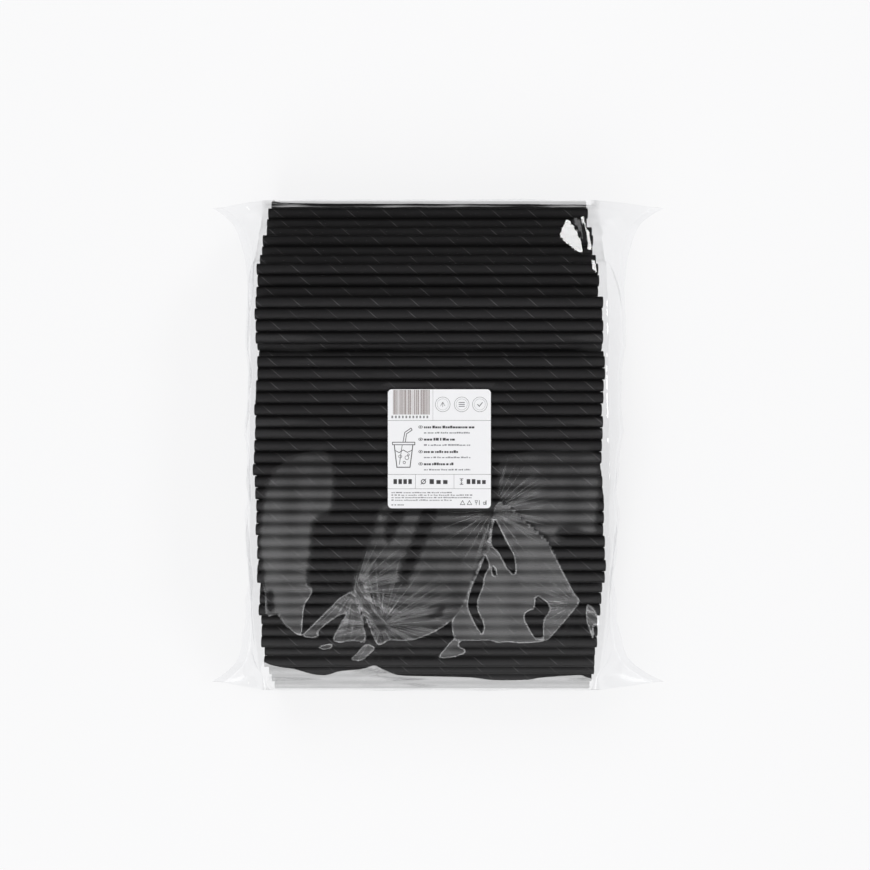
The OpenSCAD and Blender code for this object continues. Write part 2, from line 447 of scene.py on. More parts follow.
@dataclass(frozen=True)
class LabelPaper(Finish):
    """White label paper with a light sheen and a faint mottle."""

    name: str = "white_label_paper"
    slot: str = "label_paper"
    colour: Colour = (0.885, 0.885, 0.9, 1)
    shade: Colour = (0.845, 0.845, 0.862, 1)

    def surface(self, shop: NodeShop) -> Sock:
        """Paper tone and tooth.

        Args:
            shop: The tree's node shop.
        Returns:
            The shader.
        """
        at = shop.place()
        mottle = shop.noise(at, 700.0, 4.0)
        cloud = shop.noise(at, 60.0, 2.0)
        base = shop.blend(mottle * 0.45 + cloud * 0.35, self.colour, self.shade)
        more = {"Specular IOR Level": 0.4, "Normal": shop.bump(0.25, 0.04 * MM, mottle + cloud)}
        return shop.matte(base, 0.42 + 0.12 * mottle, **more)


@dataclass(frozen=True)
class PrintInk(Finish):
    """Printed ink with a little of the paper showing through."""

    name: str = "ink"
    slot: str = "label_paper"
    colour: Colour = (0.03, 0.03, 0.035, 1)
    thin: Colour = (0.09, 0.09, 0.1, 1)

    def surface(self, shop: NodeShop) -> Sock:
        """Ink tone, a little uneven.

        Args:
            shop: The tree's node shop.
        Returns:
            The shader.
        """
        at = shop.place()
        speck = shop.noise(at, 2200.0, 3.0)
        base = shop.blend(speck.step(0.35, 0.75), self.colour, self.thin)
        return shop.matte(base, 0.4 + 0.15 * speck)


@dataclass(frozen=True)
class StudioFloor(Finish):
    """Plain pale floor, partly a white background to the camera, so that it keeps a soft shadow."""

    name: str = "pale_floor"
    colour: Colour = (0.90, 0.90, 0.905, 1)
    white: Colour = (0.985, 0.985, 0.99, 1)
    background: float = 0.72

    def surface(self, shop: NodeShop) -> Sock:
        """A plain pale matte surface, mixed with white for what the camera sees.

        Args:
            shop: The tree's node shop.
        Returns:
            The shader.
        """
        matte = shop.out("ShaderNodeBsdfDiffuse", 0, None, {"Color": self.colour})
        plain = shop.out("ShaderNodeEmission", 0, None, {"Color": self.white, "Strength": 1.0})
        seen = shop.out("ShaderNodeLightPath", "Is Camera Ray")
        return shop.mixed(seen * self.background, matte, plain)


# The pile of straws


@dataclass
class StrawPile:
    """The straws, each in the pocket between two of the row below, as in the part's source.

    Sizes are in mm. front_slope and back_slope are how many more straws a row loses there by the top, and
    the bends are how late it loses them. row_sides and top_sides are how many sides a tube has, and
    allowed_off is how far a piece may lie off its CAD node.
    """

    count: int = 500
    diameter: float = 8.0
    wall: float = 0.4
    length: float = 240.0
    gap: float = 0.1
    rows: int = 14
    front_slope: int = 5
    back_slope: int = 3
    front_bend: float = 3.5
    back_bend: float = 1.0
    slack: float = 0.4
    hole_place: float = 0.84
    stagger: float = 2.6
    film: float = 0.08
    film_gap: float = 0.4
    middle_x: float = -6.5
    row_sides: int = 16
    top_sides: int = 24
    allowed_off: float = 0.05
    finish: StrawPaper = field(default_factory=StrawPaper)

    def outer(self, k: int) -> bool:
        """Whether the film holds row k's end straws, which stand out past the row below."""
        return (self.rows - 1 - k) % 2 == 0

    def lost(self, k: int, slope: int, bend: float) -> int:
        """Straws that a slope has lost by row k.

        Args:
            k: The row, from 0 at the bottom.
            slope: How many more it loses by the top than a straight pile.
            bend: How late it loses them.
        Returns:
            The number of straws.
        """
        top = self.rows - 1
        step = (k + 1 - top % 2) // 2
        return step + math.floor(slope * (step / (top // 2)) ** bend + 0.49)

    def narrower(self, k: int) -> int:
        """Straws that a row has fewer than the widest row.

        Args:
            k: The row, from 0 at the bottom.
        Returns:
            The number of straws.
        """
        front = self.lost(k, self.front_slope, self.front_bend)
        back = self.lost(k, self.back_slope, self.back_bend)
        return front + back + (0 if self.outer(k) else 1)

    def places(self) -> list[int]:
        """Places for straws in each row; one of the top row's stays empty.

        Returns:
            The number of places, row by row from the bottom.
        """
        narrower = [self.narrower(k) for k in range(self.rows)]
        widest = (self.count + sum(narrower)) // self.rows + 1
        over = self.rows * widest - sum(narrower) - self.count
        return [widest - less - (k > self.rows - over) for k, less in enumerate(narrower)]

    def section(self) -> list[list[Point]]:
        """Where the straws lie in the pile's section.

        Returns:
            For each row from the bottom, its straws' (y, z) in mm from front to back.
        """
        places = self.places()
        ys = [0.0]
        for i in range(places[0] - 1):
            loose = 0.5 + 0.3 * math.sin(math.radians(97 * i)) + 0.2 * math.sin(math.radians(41 * i + 60))
            ys.append(ys[-1] + self.diameter + self.gap + self.slack * loose)
        z = self.film + self.film_gap + self.diameter / 2
        rows = [[(y - ys[-1] / 2, z) for y in ys]]
        hole = math.floor(self.hole_place * (places[-1] - 1) + 0.5)
        for k in range(1, self.rows):
            ahead = [self.lost(n, self.front_slope, self.front_bend) for n in (k - 1, k)]
            skip = ahead[1] - ahead[0] - (1 if self.outer(k) else 0)
            spots = [i for i in range(places[k]) if k < self.rows - 1 or i != hole]
            rows.append([self.spot(rows[-1], skip + i) for i in spots])
        return rows

    def spot(self, row: Sequence[Point], j: int) -> Point:
        """A straw's place over a row: in pocket j, or past the row's end against the end straw.

        Args:
            row: The row below.
            j: The pocket, from 0 at the front; -1 or one too many for a place past the end.
        Returns:
            The straw's (y, z).
        """
        if j < 0:
            return self.pocket(row[0], self.pocket(row[0], row[1]))
        if j > len(row) - 2:
            return self.pocket(self.pocket(row[-2], row[-1]), row[-1])
        return self.pocket(row[j], row[j + 1])

    def seen(self) -> np.ndarray:
        """Find the straws that are seen from above.

        Returns:
            Their y in mm, from front to back.
        """
        kept: list[float] = []
        for y, _ in sorted((p for row in self.section() for p in row), key=lambda p: -p[1]):
            if all(abs(y - other) > 0.6 * self.diameter for other in kept):
                kept.append(y)
        return np.array(sorted(kept))

    def pocket(self, a: Point, b: Point) -> Point:
        """The place of a straw that lies on two others.

        Args:
            a: The straw in front.
            b: The straw behind it.
        Returns:
            The straw's (y, z).
        """
        dy, dz = b[0] - a[0], b[1] - a[1]
        far = math.hypot(dy, dz)
        up = math.sqrt((self.diameter + self.gap) ** 2 - far * far / 4)
        return (a[0] + b[0]) / 2 - dz / far * up, (a[1] + b[1]) / 2 + dy / far * up

    def centres(self) -> list[list[Spot]]:
        """The straws' centres, each a little out of line along the straws.

        Returns:
            The centres in metres, row by row from the bottom.
        """
        rows = self.section()
        front = rows[0][0][0]

        def shift(k: int, i: int) -> float:
            """How far a straw stands out of line."""
            waves = ((0.4, 23 * i + 31 * k), (0.2, 67 * i + 15), (0.15, 149 * i + 83 * k))
            return self.stagger * (
                sum(w * math.sin(math.radians(a)) for w, a in waves) + 0.25 * rows[k][i][0] / front
            )

        return [
            [((self.middle_x + shift(k, i)) * MM, y * MM, z * MM) for i, (y, z) in enumerate(row)]
            for k, row in enumerate(rows)
        ]

    def tree(self) -> bpy.types.NodeTree:
        """A Geometry Nodes tree that puts a rolled tube on each point.

        Returns:
            The tree, with the tube's sizes as inputs.
        """
        tree = bpy.data.node_groups.new("rolled_tubes", "GeometryNodeTree")
        face = tree.interface
        face.new_socket("Geometry", in_out="INPUT", socket_type="NodeSocketGeometry")
        for name in ("Diameter", "Wall", "Length"):
            face.new_socket(name, in_out="INPUT", socket_type="NodeSocketFloat")
        face.new_socket("Sides", in_out="INPUT", socket_type="NodeSocketInt")
        face.new_socket("Paper", in_out="INPUT", socket_type="NodeSocketMaterial")
        face.new_socket("Geometry", in_out="OUTPUT", socket_type="NodeSocketGeometry")
        shop = NodeShop(tree)
        given = shop.add("NodeGroupInput")
        size = {s.name: Sock(shop, s) for s in given.outputs if s.name}
        radius = size["Diameter"] * 0.5
        grid = shop.add(
            "GeometryNodeMeshGrid", None,
            {"Size X": 1.0, "Size Y": 1.0, "Vertices X": size["Sides"] + 1, "Vertices Y": 5},
        )
        along, around, _ = shop.parts(shop.out("GeometryNodeInputPosition"))
        around_turn, band = along + 0.5, around + 0.5
        at_end = (band > 0.125) * (band < 0.625)
        inner = (band > 0.375) * (band < 0.875)
        reach = radius - inner * size["Wall"]
        turn = around_turn * (2 * math.pi)
        spot = shop.out(
            "ShaderNodeCombineXYZ", 0, None,
            {0: (at_end - 0.5) * size["Length"], 1: reach * turn.cosine(), 2: reach * turn.sine()},
        )
        unit = self.finish.unit
        girth = self.diameter * math.pi * MM / unit
        tail = inner * (1 - at_end)
        last = band > 0.9
        length = at_end * size["Length"] + inner * size["Wall"] + tail * size["Length"] * 2
        length = length + last * (2 * size["Length"] + 2 * size["Wall"])
        flat = shop.out("ShaderNodeCombineXYZ", 0, None, {0: around_turn * girth, 1: length / unit})
        mapped = shop.out(
            "GeometryNodeStoreNamedAttribute", 0, {"data_type": "FLOAT2", "domain": "CORNER"},
            {"Geometry": Sock(shop, grid.outputs["Mesh"]), "Name": "UVMap", "Value": flat},
        )
        tube = shop.out("GeometryNodeSetPosition", 0, None, {"Geometry": mapped, "Position": spot})
        closed = shop.out("GeometryNodeMergeByDistance", 0, None, {"Geometry": tube, "Distance": 0.01 * MM})
        copies = shop.out(
            "GeometryNodeInstanceOnPoints", 0, None, {"Points": size["Geometry"], "Instance": closed}
        )
        real = shop.out("GeometryNodeRealizeInstances", 0, None, {"Geometry": copies})
        done = shop.out(
            "GeometryNodeSetMaterial", 0, None, {"Geometry": real, "Material": size["Paper"]}
        )
        shop.add("NodeGroupOutput", None, {"Geometry": done})
        return tree

    def build_piece(self, name: str, node: str, spots: Sequence[Spot], sides: int, seed: int,
                    tree: bpy.types.NodeTree) -> bpy.types.Object:
        """One piece of straws.

        Args:
            name: The piece's name.
            node: The CAD node that the piece stands for.
            spots: The straws' centres in metres.
            sides: Sides of each tube.
            seed: Seed of where the seams start.
            tree: The tree from tree().
        Returns:
            The piece.
        """
        points = bpy.data.meshes.new(name + "_points")
        points.from_pydata(spots, [], [])
        starts = np.random.default_rng(seed).random(len(spots))
        points.attributes.new("seam_start", "FLOAT", "POINT").data.foreach_set("value", starts)
        holder = bpy.data.objects.new(name + "_points", points)
        bpy.context.scene.collection.objects.link(holder)
        modifier = holder.modifiers.new("tubes", "NODES")
        modifier.node_group = tree
        values = {"Diameter": self.diameter * MM, "Wall": self.wall * MM, "Length": self.length * MM,
                  "Sides": sides, "Paper": self.finish.material()}
        for socket in tree.interface.items_tree:
            if socket.in_out == "INPUT" and socket.name in values:
                modifier[socket.identifier] = values[socket.name]
        graph = bpy.context.evaluated_depsgraph_get()
        mesh = bpy.data.meshes.new_from_object(holder.evaluated_get(graph), depsgraph=graph)
        bpy.data.objects.remove(holder)
        mesh.name = name
        if self.outward_share(mesh, spots[0]) < 0.5:
            mesh.flip_normals()
        mesh.shade_smooth()
        mesh.set_sharp_from_angle(angle=math.radians(50))
        piece = bpy.data.objects.new(name, mesh)
        bpy.context.scene.collection.objects.link(piece)
        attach(piece, ROOT)
        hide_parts(node)
        return piece

    def build(self) -> list[bpy.types.Object]:
        """All straws: a piece for each row below the top, and one for each straw of the top row.

        Returns:
            The pieces.
        """
        tree = self.tree()
        rows = self.centres()
        jobs = [
            (f"straws_{k + 1:02d}", f"straw_row_{k + 1:02d}", row, self.row_sides, 100 + k)
            for k, row in enumerate(rows[:-1])
        ]
        jobs += [
            (f"upper_straw_{i + 1:02d}", f"top_straw_{i + 1:02d}", [spot], self.top_sides, 200 + i)
            for i, spot in enumerate(rows[-1])
        ]
        pieces = []
        for name, node, spots, sides, seed in jobs:
            pieces.append(self.build_piece(name, node, spots, sides, seed, tree))
            self.compare(node, spots)
        return pieces

    def compare(self, node: str, spots: Sequence[Spot]) -> None:
        """Warn where straws here lie off their CAD node.

        Args:
            node: The node's name.
            spots: The straws' centres in metres.
        """
        half = np.array([self.length, self.diameter, self.diameter]) * MM / 2
        mine = np.array([np.min(spots, axis=0) - half, np.max(spots, axis=0) + half])
        off = np.abs(mine - np.array(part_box(node))).max()
        if off > self.allowed_off * MM:
            log.warning("%s is %.3f mm off its node", node, off / MM)

    def outward_share(self, mesh: bpy.types.Mesh, middle: Spot) -> float:
        """How much of the outer wall of the first straw faces away from its axis.

        Args:
            mesh: The straws' mesh.
            middle: The first straw's centre.
        Returns:
            A share from 0 to 1.
        """
        good = seen = 0
        wall = (self.diameter / 2 - 0.75 * self.wall) * MM
        for face in list(mesh.polygons)[:4 * self.row_sides]:
            dy, dz = face.center.y - middle[1], face.center.z - middle[2]
            if abs(face.normal.x) < 0.5 and math.hypot(dy, dz) > wall:
                seen += 1
                good += face.normal.y * dy + face.normal.z * dz > 0
        return good / max(seen, 1)


# The film bag


class End(Enum):
    """The bag's two sealed ends: side, seal's middle, its lean and its ears past the straws, in mm."""

    LEFT = (-1, 9.0, 0.0, 34.0)
    RIGHT = (1, 15.0, 7.0, 47.0)


@dataclass(frozen=True)
class Facet:
    """A patch of film between folds, that lies in its own plane.

    Its outline is seen from above, in mm. Its plane has this normal, or else leans to the front as the
    film does there and steeper degrees more. Its edge is a crisp fold in front of crisp_from and fades out
    behind it, over the width of fade.
    """

    outline: tuple[Point, ...]
    normal: Spot | None = None
    steeper: float = 0.0
    crisp_from: float = -200.0
    fade: float = 12.0

    def sharp(self, at: np.ndarray) -> np.ndarray:
        """1 where the patch ends in a crisp fold, and 0 where it fades out."""
        return np.clip((self.crisp_from - at[:, 1]) / self.fade, 0, 1)


# A plane that mirrors the lamp on the right straight up.
WINDOW = (0.266, -0.054, 0.962)
# A place behind the bag: a facet that is crisp in front of it is crisp all round.
CRISP = 200.0
# What counts as the distance inside a facet where none is near, in mm.
FAR_OUTSIDE = -50.0

LIT_FACETS = {
    "left": Facet(((-118.3, -24.9), (-110.0, -12.5), (-95.5, -4.2), (-77.6, -1.5), (-71.4, -15.2),
                   (-72.8, -45.6), (-86.6, -50.4), (-88.0, -75.2), (-91.6, -96.9), (-87.7, -99.2),
                   (-89.4, -104.4), (-94.4, -110.5), (-97.5, -134.4), (-99.9, -133.7), (-104.5, -129.0),
                   (-108.3, -125.7), (-111.4, -119.2), (-113.6, -117.6), (-120.7, -119.7),
                   (-119.7, -101.4), (-120.8, -87.6), (-124.2, -65.6), (-121.7, -40.7)),
          steeper=0.9, crisp_from=-92.0),
    "tongue": Facet(((-59.3, -100.1), (-68.8, -106.4), (-77.0, -114.9), (-89.6, -127.9), (-97.0, -135.1),
                     (-88.1, -136.2), (-85.0, -134.4), (-86.9, -132.2), (-77.5, -123.5), (-69.3, -118.1),
                     (-62.1, -115.8)), crisp_from=CRISP),
    "trapeze": Facet(((-58.3, -100.7), (-64.4, -118.1), (-69.8, -127.9), (-75.2, -137.8),
                      (-70.3, -140.0), (-64.3, -138.4), (-58.3, -138.4), (-52.2, -140.0),
                      (-52.5, -132.3), (-54.6, -118.1), (-56.8, -110.6), (-57.5, -104.3)),
          crisp_from=CRISP),
    "middle": Facet(((-37.6, -37.3), (-43.0, -51.1), (-47.8, -67.5), (-53.6, -82.0), (-58.0, -93.7),
                     (-58.0, -101.4), (-56.1, -106.4), (-53.5, -114.9), (-48.9, -126.8), (-46.1, -134.4),
                     (-43.4, -142.3), (-38.3, -140.0), (-35.3, -137.3), (-26.3, -138.4), (-16.3, -137.3),
                     (-4.3, -132.3), (3.6, -126.8), (10.5, -121.4), (15.0, -115.1), (18.1, -108.2),
                     (21.7, -96.9), (26.2, -86.8), (32.6, -71.0), (37.3, -47.8), (38.2, -35.9)),
          steeper=-1.2, crisp_from=-92.0),
    "streak": Facet(((-42.8, -45.6), (-36.6, -45.6), (-34.9, -64.9), (-36.3, -92.5), (-39.2, -124.3),
                     (-41.6, -124.3), (-43.4, -99.9), (-43.5, -71.8)), steeper=1.6),
    "right": Facet(((40.2, -38.7), (37.5, -49.7), (32.6, -71.0), (26.2, -86.8), (21.7, -96.9),
                    (18.1, -108.2), (15.0, -115.1), (10.5, -121.4), (9.7, -129.0), (11.9, -137.7),
                    (22.4, -138.4), (37.0, -137.7), (42.5, -140.2), (49.0, -138.9), (57.8, -140.0),
                    (66.4, -139.6), (76.8, -138.4), (80.3, -134.1), (86.4, -125.8), (93.2, -116.3),
                    (98.5, -107.6), (93.4, -102.4), (87.5, -91.1), (81.1, -79.3), (74.7, -66.8),
                    (60.0, -54.1), (48.4, -42.5)), crisp_from=CRISP, steeper=1.9),
    "shoulder": Facet(((39.5, -11.1), (56.1, -2.8), (109.8, -0.1), (111.2, -23.5), (110.5, -40.7),
                       (109.1, -51.1), (109.1, -60.7), (100.9, -60.0), (96.0, -57.3), (83.6, -56.6),
                       (80.9, -60.7), (87.8, -64.9), (77.4, -66.9), (70.6, -60.0), (60.0, -52.5),
                       (48.4, -40.7), (41.6, -35.9)), steeper=0.4),
    "spill": Facet(((10.7, -137.8), (5.6, -144.5), (-0.3, -152.9), (9.8, -152.3), (20.8, -147.5),
                    (13.7, -143.4), (14.6, -138.9)), crisp_from=CRISP),
    "drip": Facet(((-63.1, -154.1), (-58.2, -155.4), (-55.1, -154.7), (-45.0, -144.5), (-51.3, -141.2),
                   (-55.6, -145.6), (-57.8, -149.3)), crisp_from=CRISP, steeper=1.5),
    "spot": Facet(((-85.5, -144.0), (-82.7, -145.6), (-76.6, -144.5), (-75.9, -141.2), (-81.0, -142.3)),
          crisp_from=CRISP),
    "corner": Facet(((103.9, -109.9), (109.2, -115.3), (112.9, -125.0), (111.9, -126.6), (108.2, -124.3),
                     (110.4, -139.2), (105.5, -125.9), (103.4, -116.6)), crisp_from=CRISP, steeper=1.5),
    "hem": Facet(((-127.5, -155.1), (-122.2, -158.6), (-113.7, -160.7), (-103.7, -162.0),
                  (-91.8, -168.9), (-82.5, -169.8), (-72.5, -165.1), (-55.1, -163.4), (-46.4, -158.8),
                  (-38.6, -165.1), (-29.7, -170.6), (8.6, -171.2), (24.2, -172.2), (40.1, -175.7),
                  (67.4, -175.7), (74.4, -173.0), (104.8, -168.9), (108.4, -171.4), (116.1, -174.6),
                  (123.3, -194.0), (-136.0, -194.0)), normal=(0.0, -0.93, 0.37), crisp_from=CRISP),
    "glint_main": Facet(((94.3, 168.5), (89.0, 157.8), (86.5, 150.9), (92.7, 142.6), (100.2, 135.4),
                         (104.3, 137.5), (103.9, 141.1), (103.7, 146.6), (100.7, 158.3), (97.2, 167.4)),
          normal=WINDOW, crisp_from=CRISP),
    "glint_between": Facet(((98.2, 168.0), (104.3, 169.5), (105.2, 159.2), (105.6, 148.4),
                            (104.9, 143.1), (104.6, 146.6), (101.6, 157.4)),
          normal=(0.03, -0.44, 0.898), crisp_from=CRISP),
    "glint_side": Facet(((105.1, 170.4), (108.7, 171.0), (109.6, 159.2), (110.8, 148.4), (110.6, 140.4),
                         (107.4, 137.8), (105.4, 139.6), (106.0, 147.5), (105.8, 159.2)),
          normal=WINDOW, crisp_from=CRISP),
    "rim": Facet(((-126.8, 190.4), (117.9, 190.4), (116.0, 180.4), (113.2, 181.4), (-2.5, 182.3),
                  (-123.1, 182.8)), normal=(0.0, 0.93, 0.37), crisp_from=CRISP),
    "glint_drop": Facet(((106.6, 132.1), (110.1, 131.3), (111.4, 120.7), (111.3, 115.8), (108.1, 120.7),
                         (106.1, 126.0)), normal=WINDOW, crisp_from=CRISP),
}

DARK_SLITS = {
    "lens": Facet(((32.0, -73.7), (35.9, -82.4), (31.3, -90.1), (31.2, -97.2), (27.4, -106.7),
                   (27.6, -115.1), (32.8, -125.9), (31.6, -136.0), (25.9, -127.2), (19.7, -113.1),
                   (20.6, -103.5), (25.2, -90.1), (29.1, -82.4)), crisp_from=CRISP),
    "blade": Facet(((38.4, -48.8), (41.5, -54.1), (46.8, -65.7), (52.6, -75.2), (53.7, -86.8),
                    (52.1, -89.9), (47.9, -85.7), (45.7, -82.6), (41.1, -73.1), (35.7, -68.9),
                    (36.1, -58.3)), crisp_from=CRISP),
    "hook": Facet(((35.9, -80.7), (39.5, -84.2), (40.6, -89.0), (37.8, -91.4), (36.1, -86.2)),
          crisp_from=CRISP),
    "inlet": Facet(((67.3, -102.5), (76.4, -108.8), (78.7, -115.1), (74.2, -121.7), (74.2, -131.5),
                    (75.7, -136.8), (68.0, -137.0), (63.6, -129.4), (59.3, -120.7), (61.0, -115.3),
                    (66.9, -113.7), (66.6, -107.8)), crisp_from=CRISP),
    "nick": Facet(((-116.0, -98.4), (-115.3, -106.4), (-116.1, -116.6), (-119.5, -115.1),
                   (-120.2, -107.4))),
    "slot": Facet(((-10.1, -41.4), (-0.4, -41.4), (-7.3, -61.4), (-14.9, -78.6), (-22.5, -94.7),
                   (-27.3, -92.5), (-25.2, -82.1), (-19.0, -68.3), (-14.2, -54.5))),
    "wedge": Facet(((-34.9, -46.3), (-21.8, -44.9), (-29.4, -56.6), (-34.2, -68.3), (-37.0, -61.4))),
    "notch": Facet(((-1.8, -116.6), (3.8, -112.0), (1.7, -118.9), (-3.9, -120.4), (-6.0, -119.7))),
}


def rounded(outline: Sequence[Point], turns: int = 2) -> np.ndarray:
    """An outline with its corners cut, so that it bends as a fold does.

    Args:
        outline: Its corners.
        turns: How often the corners are cut.
    Returns:
        The points, one row each.
    """
    cut = 0.18
    points = np.array(outline, dtype=float)
    for _ in range(turns):
        after = np.roll(points, -1, axis=0)
        corners = [points * (1 - cut) + after * cut, points * cut + after * (1 - cut)]
        points = np.stack(corners, 1).reshape(-1, 2)
    return points


def signed_distance(outline: np.ndarray, at: np.ndarray) -> np.ndarray:
    """How far points lie inside an outline; under 0 outside it.

    Args:
        outline: The outline's points.
        at: The points to measure.
    Returns:
        One distance each.
    """
    far = np.full(len(at), np.inf)
    inside = np.zeros(len(at), dtype=bool)
    for a, b in zip(outline, np.roll(outline, -1, axis=0)):
        way = b - a
        share = np.clip(((at - a) @ way) / (way @ way + 1e-12), 0, 1)
        gap = at - a - share[:, None] * way
        far = np.minimum(far, np.hypot(gap[:, 0], gap[:, 1]))
        crosses = (a[1] > at[:, 1]) != (b[1] > at[:, 1])
        with np.errstate(divide="ignore", invalid="ignore"):
            where = a[0] + (at[:, 1] - a[1]) * way[0] / (way[1] if way[1] else 1e-9)
        inside ^= crosses & (at[:, 0] < where)
    return np.where(inside, far, -far)


@dataclass
class FilmBag:
    """A lay-flat tube of clear film round the pile, drawn into a straight seal at each end.

    Sizes are in mm, and the shape is the one in the part's source. The columns run along the bag and the
    rows across it: body_rows over the straws, end_rows from there to a seal, and strip_rows over its strip.
    lies gives, for places across the bag, how many degrees the slack film leans to the front there. The
    drawn-flat film, whose shading doesn't follow its small waves, ends between the two places of flat_ends.
    """

    pile: StrawPile
    ear_inset: float = 6.0
    seal_z: float = 50.0
    ear_z: float = 16.0
    seal_width: float = 9.0
    seal_wave: float = 1.2
    fold_height: float = 2.2
    fold_count: int = 9
    fold_share: float = 0.92
    label_half: Point = (35.5, 41.0)
    label_middle: Point = (0.5, -2.0)
    upper_columns: int = 270
    lower_columns: int = 60
    body_rows: int = 140
    end_rows: int = 22
    strip_rows: int = 4
    wrap_step: int = 4
    step_length: float = 13.0
    turn_weight: float = 0.4
    even_weight: float = 30.0
    pleats: int = 31
    pleat_height: float = 0.6
    flutters: int = 11
    flutter_height: float = 0.5
    slack_reach: float = 45.0
    slack_height: float = 0.8
    film_apart: float = 0.09
    end_fade_rows: int = 3
    label_fade: float = 4.0
    flat_ends: Point = (-4.0, 8.0)
    soft_edge: float = 0.075
    lies: tuple[Point, ...] = (
        (-140.0, 9.7), (-100.0, 10.5), (-72.0, 11.3), (-45.0, 11.0), (-20.0, 9.3), (0.0, 7.0)
    )
    finish: ClearFilm = field(default_factory=ClearFilm)

    def __post_init__(self) -> None:
        """Work out the section's outline and the sizes that follow from it."""
        pile = self.pile
        rows = pile.section()
        rim = [p for row in rows for p in (row[0], row[-1])] + rows[-1]
        offset = pile.diameter / 2 + pile.film_gap
        wrap = []
        for angle in range(180, -180, -self.wrap_step):
            way = (math.cos(math.radians(angle)), math.sin(math.radians(angle)))
            far = max(rim, key=lambda p: p[0] * way[0] + p[1] * way[1])
            wrap.append((far[0] + way[0] * offset, far[1] + way[1] * offset))
        self.wrap = np.array(wrap)
        steps = np.hypot(*(np.roll(self.wrap, -1, axis=0) - self.wrap).T)
        self.run = np.concatenate([[0.0], np.cumsum(steps)])
        self.back_edge = self.wrap[:, 0].max()
        self.over = self.run[int(self.wrap[:, 0].argmax())]
        self.seal_half = self.back_edge - self.ear_inset
        self.ends_x = pile.length / 2 + pile.stagger + pile.film_gap
        self.fold_length = self.fold_share * (
            self.ends_x - self.label_half[0] - abs(self.label_middle[0] - pile.middle_x)
        )

    def turn_cost(self, share: np.ndarray) -> np.ndarray:
        """What shares the points out along the films: their length, and how much both turn.

        Args:
            share: Places along a film.
        Returns:
            The cost from the front edge up to each of them.
        """
        under = self.run[-1] - self.over
        index = np.arange(len(self.run), dtype=float)
        over_turns = np.interp(self.over * share, self.run, index)
        under_turns = np.interp(self.over + under * (1 - share), self.run, index)
        return self.over * share / self.step_length + self.turn_weight * (over_turns - under_turns)

    def shares(self, count: int) -> np.ndarray:
        """Places along a film that lie closer where it turns.

        Args:
            count: The spaces between them.
        Returns:
            Shares from 0 at the front edge to 1 at the back edge.
        """
        fine = np.linspace(0, 1, 2001)
        cost = self.turn_cost(fine) + self.even_weight * fine
        return np.interp(np.linspace(cost[0], cost[-1], count + 1), cost, fine)

    def outline(self, upper: bool, share: np.ndarray) -> np.ndarray:
        """Points of the section's outline.

        Args:
            upper: True for the film over the straws.
            share: Where along that film the points are.
        Returns:
            Their (y, z), one row each.
        """
        under = self.run[-1] - self.over
        length = self.over * share if upper else self.over + under * (1 - share)
        ring = np.vstack([self.wrap, self.wrap[:1]])
        return np.stack([np.interp(length, self.run, ring[:, a]) for a in (0, 1)], 1)

    def folds(self, share: np.ndarray) -> np.ndarray:
        """Height of the long folds that run from the ends in over the straws.

        Args:
            share: Places along the upper film.
        Returns:
            The height at the straws' ends.
        """
        calm = 1 - np.power(2 * share - 1, 6)
        crest = np.power(0.5 + 0.5 * np.cos(2 * np.pi * self.fold_count * share), 2)
        return self.fold_height * calm * crest * (0.7 + 0.3 * np.sin(np.radians(4300 * share)))

    def seal(self, u: np.ndarray, end: End) -> np.ndarray:
        """Points of the seal.

        Args:
            u: Where along the seal they are, from -1 at the front ear to 1 at the back one.
            end: Which end's seal.
        Returns:
            Their x past the straws, y and z.
        """
        _, middle, lean, ear = end.value
        out = np.abs(u)
        calm = 1 - np.power(out, 4)
        wave = np.sin(np.radians(900 * u + 40)) + 0.5 * np.sin(np.radians(2100 * u))
        x = middle + lean * u * calm + (ear - middle) * np.power(out, 12) + self.seal_wave * calm * wave
        z = self.seal_z - (self.seal_z - self.ear_z) * np.power(out, 2.2)
        return np.stack([x, u * self.seal_half, z], 1)

    def from_label(self, x: np.ndarray, y: np.ndarray) -> np.ndarray:
        """How far places lie outside the label; under 0 on it."""
        return np.maximum(
            np.abs(x - self.label_middle[0]) - self.label_half[0],
            np.abs(y - self.label_middle[1]) - self.label_half[1],
        )

    def slack(self, x: np.ndarray, y: np.ndarray, run: np.ndarray) -> np.ndarray:
        """How far the film stands off the straws where it isn't taut: none under the label.

        Args:
            x: Places along the straws.
            y: Places across them.
            run: How far round the outline those are.
        Returns:
            The height.
        """
        free = np.clip(self.from_label(x, y) / self.slack_reach, 0, 1)
        free = free * free * (3 - 2 * free)
        waves = (
            0.5 * np.sin(x / 17 + 1.3 * np.sin(run / 41)) * np.sin(run / 23 + 0.8 * np.sin(x / 37))
            + 0.28 * np.sin(x / 8.3 + run / 29) * np.sin(run / 11.7 - x / 31)
        )
        return free * (self.slack_height + waves)

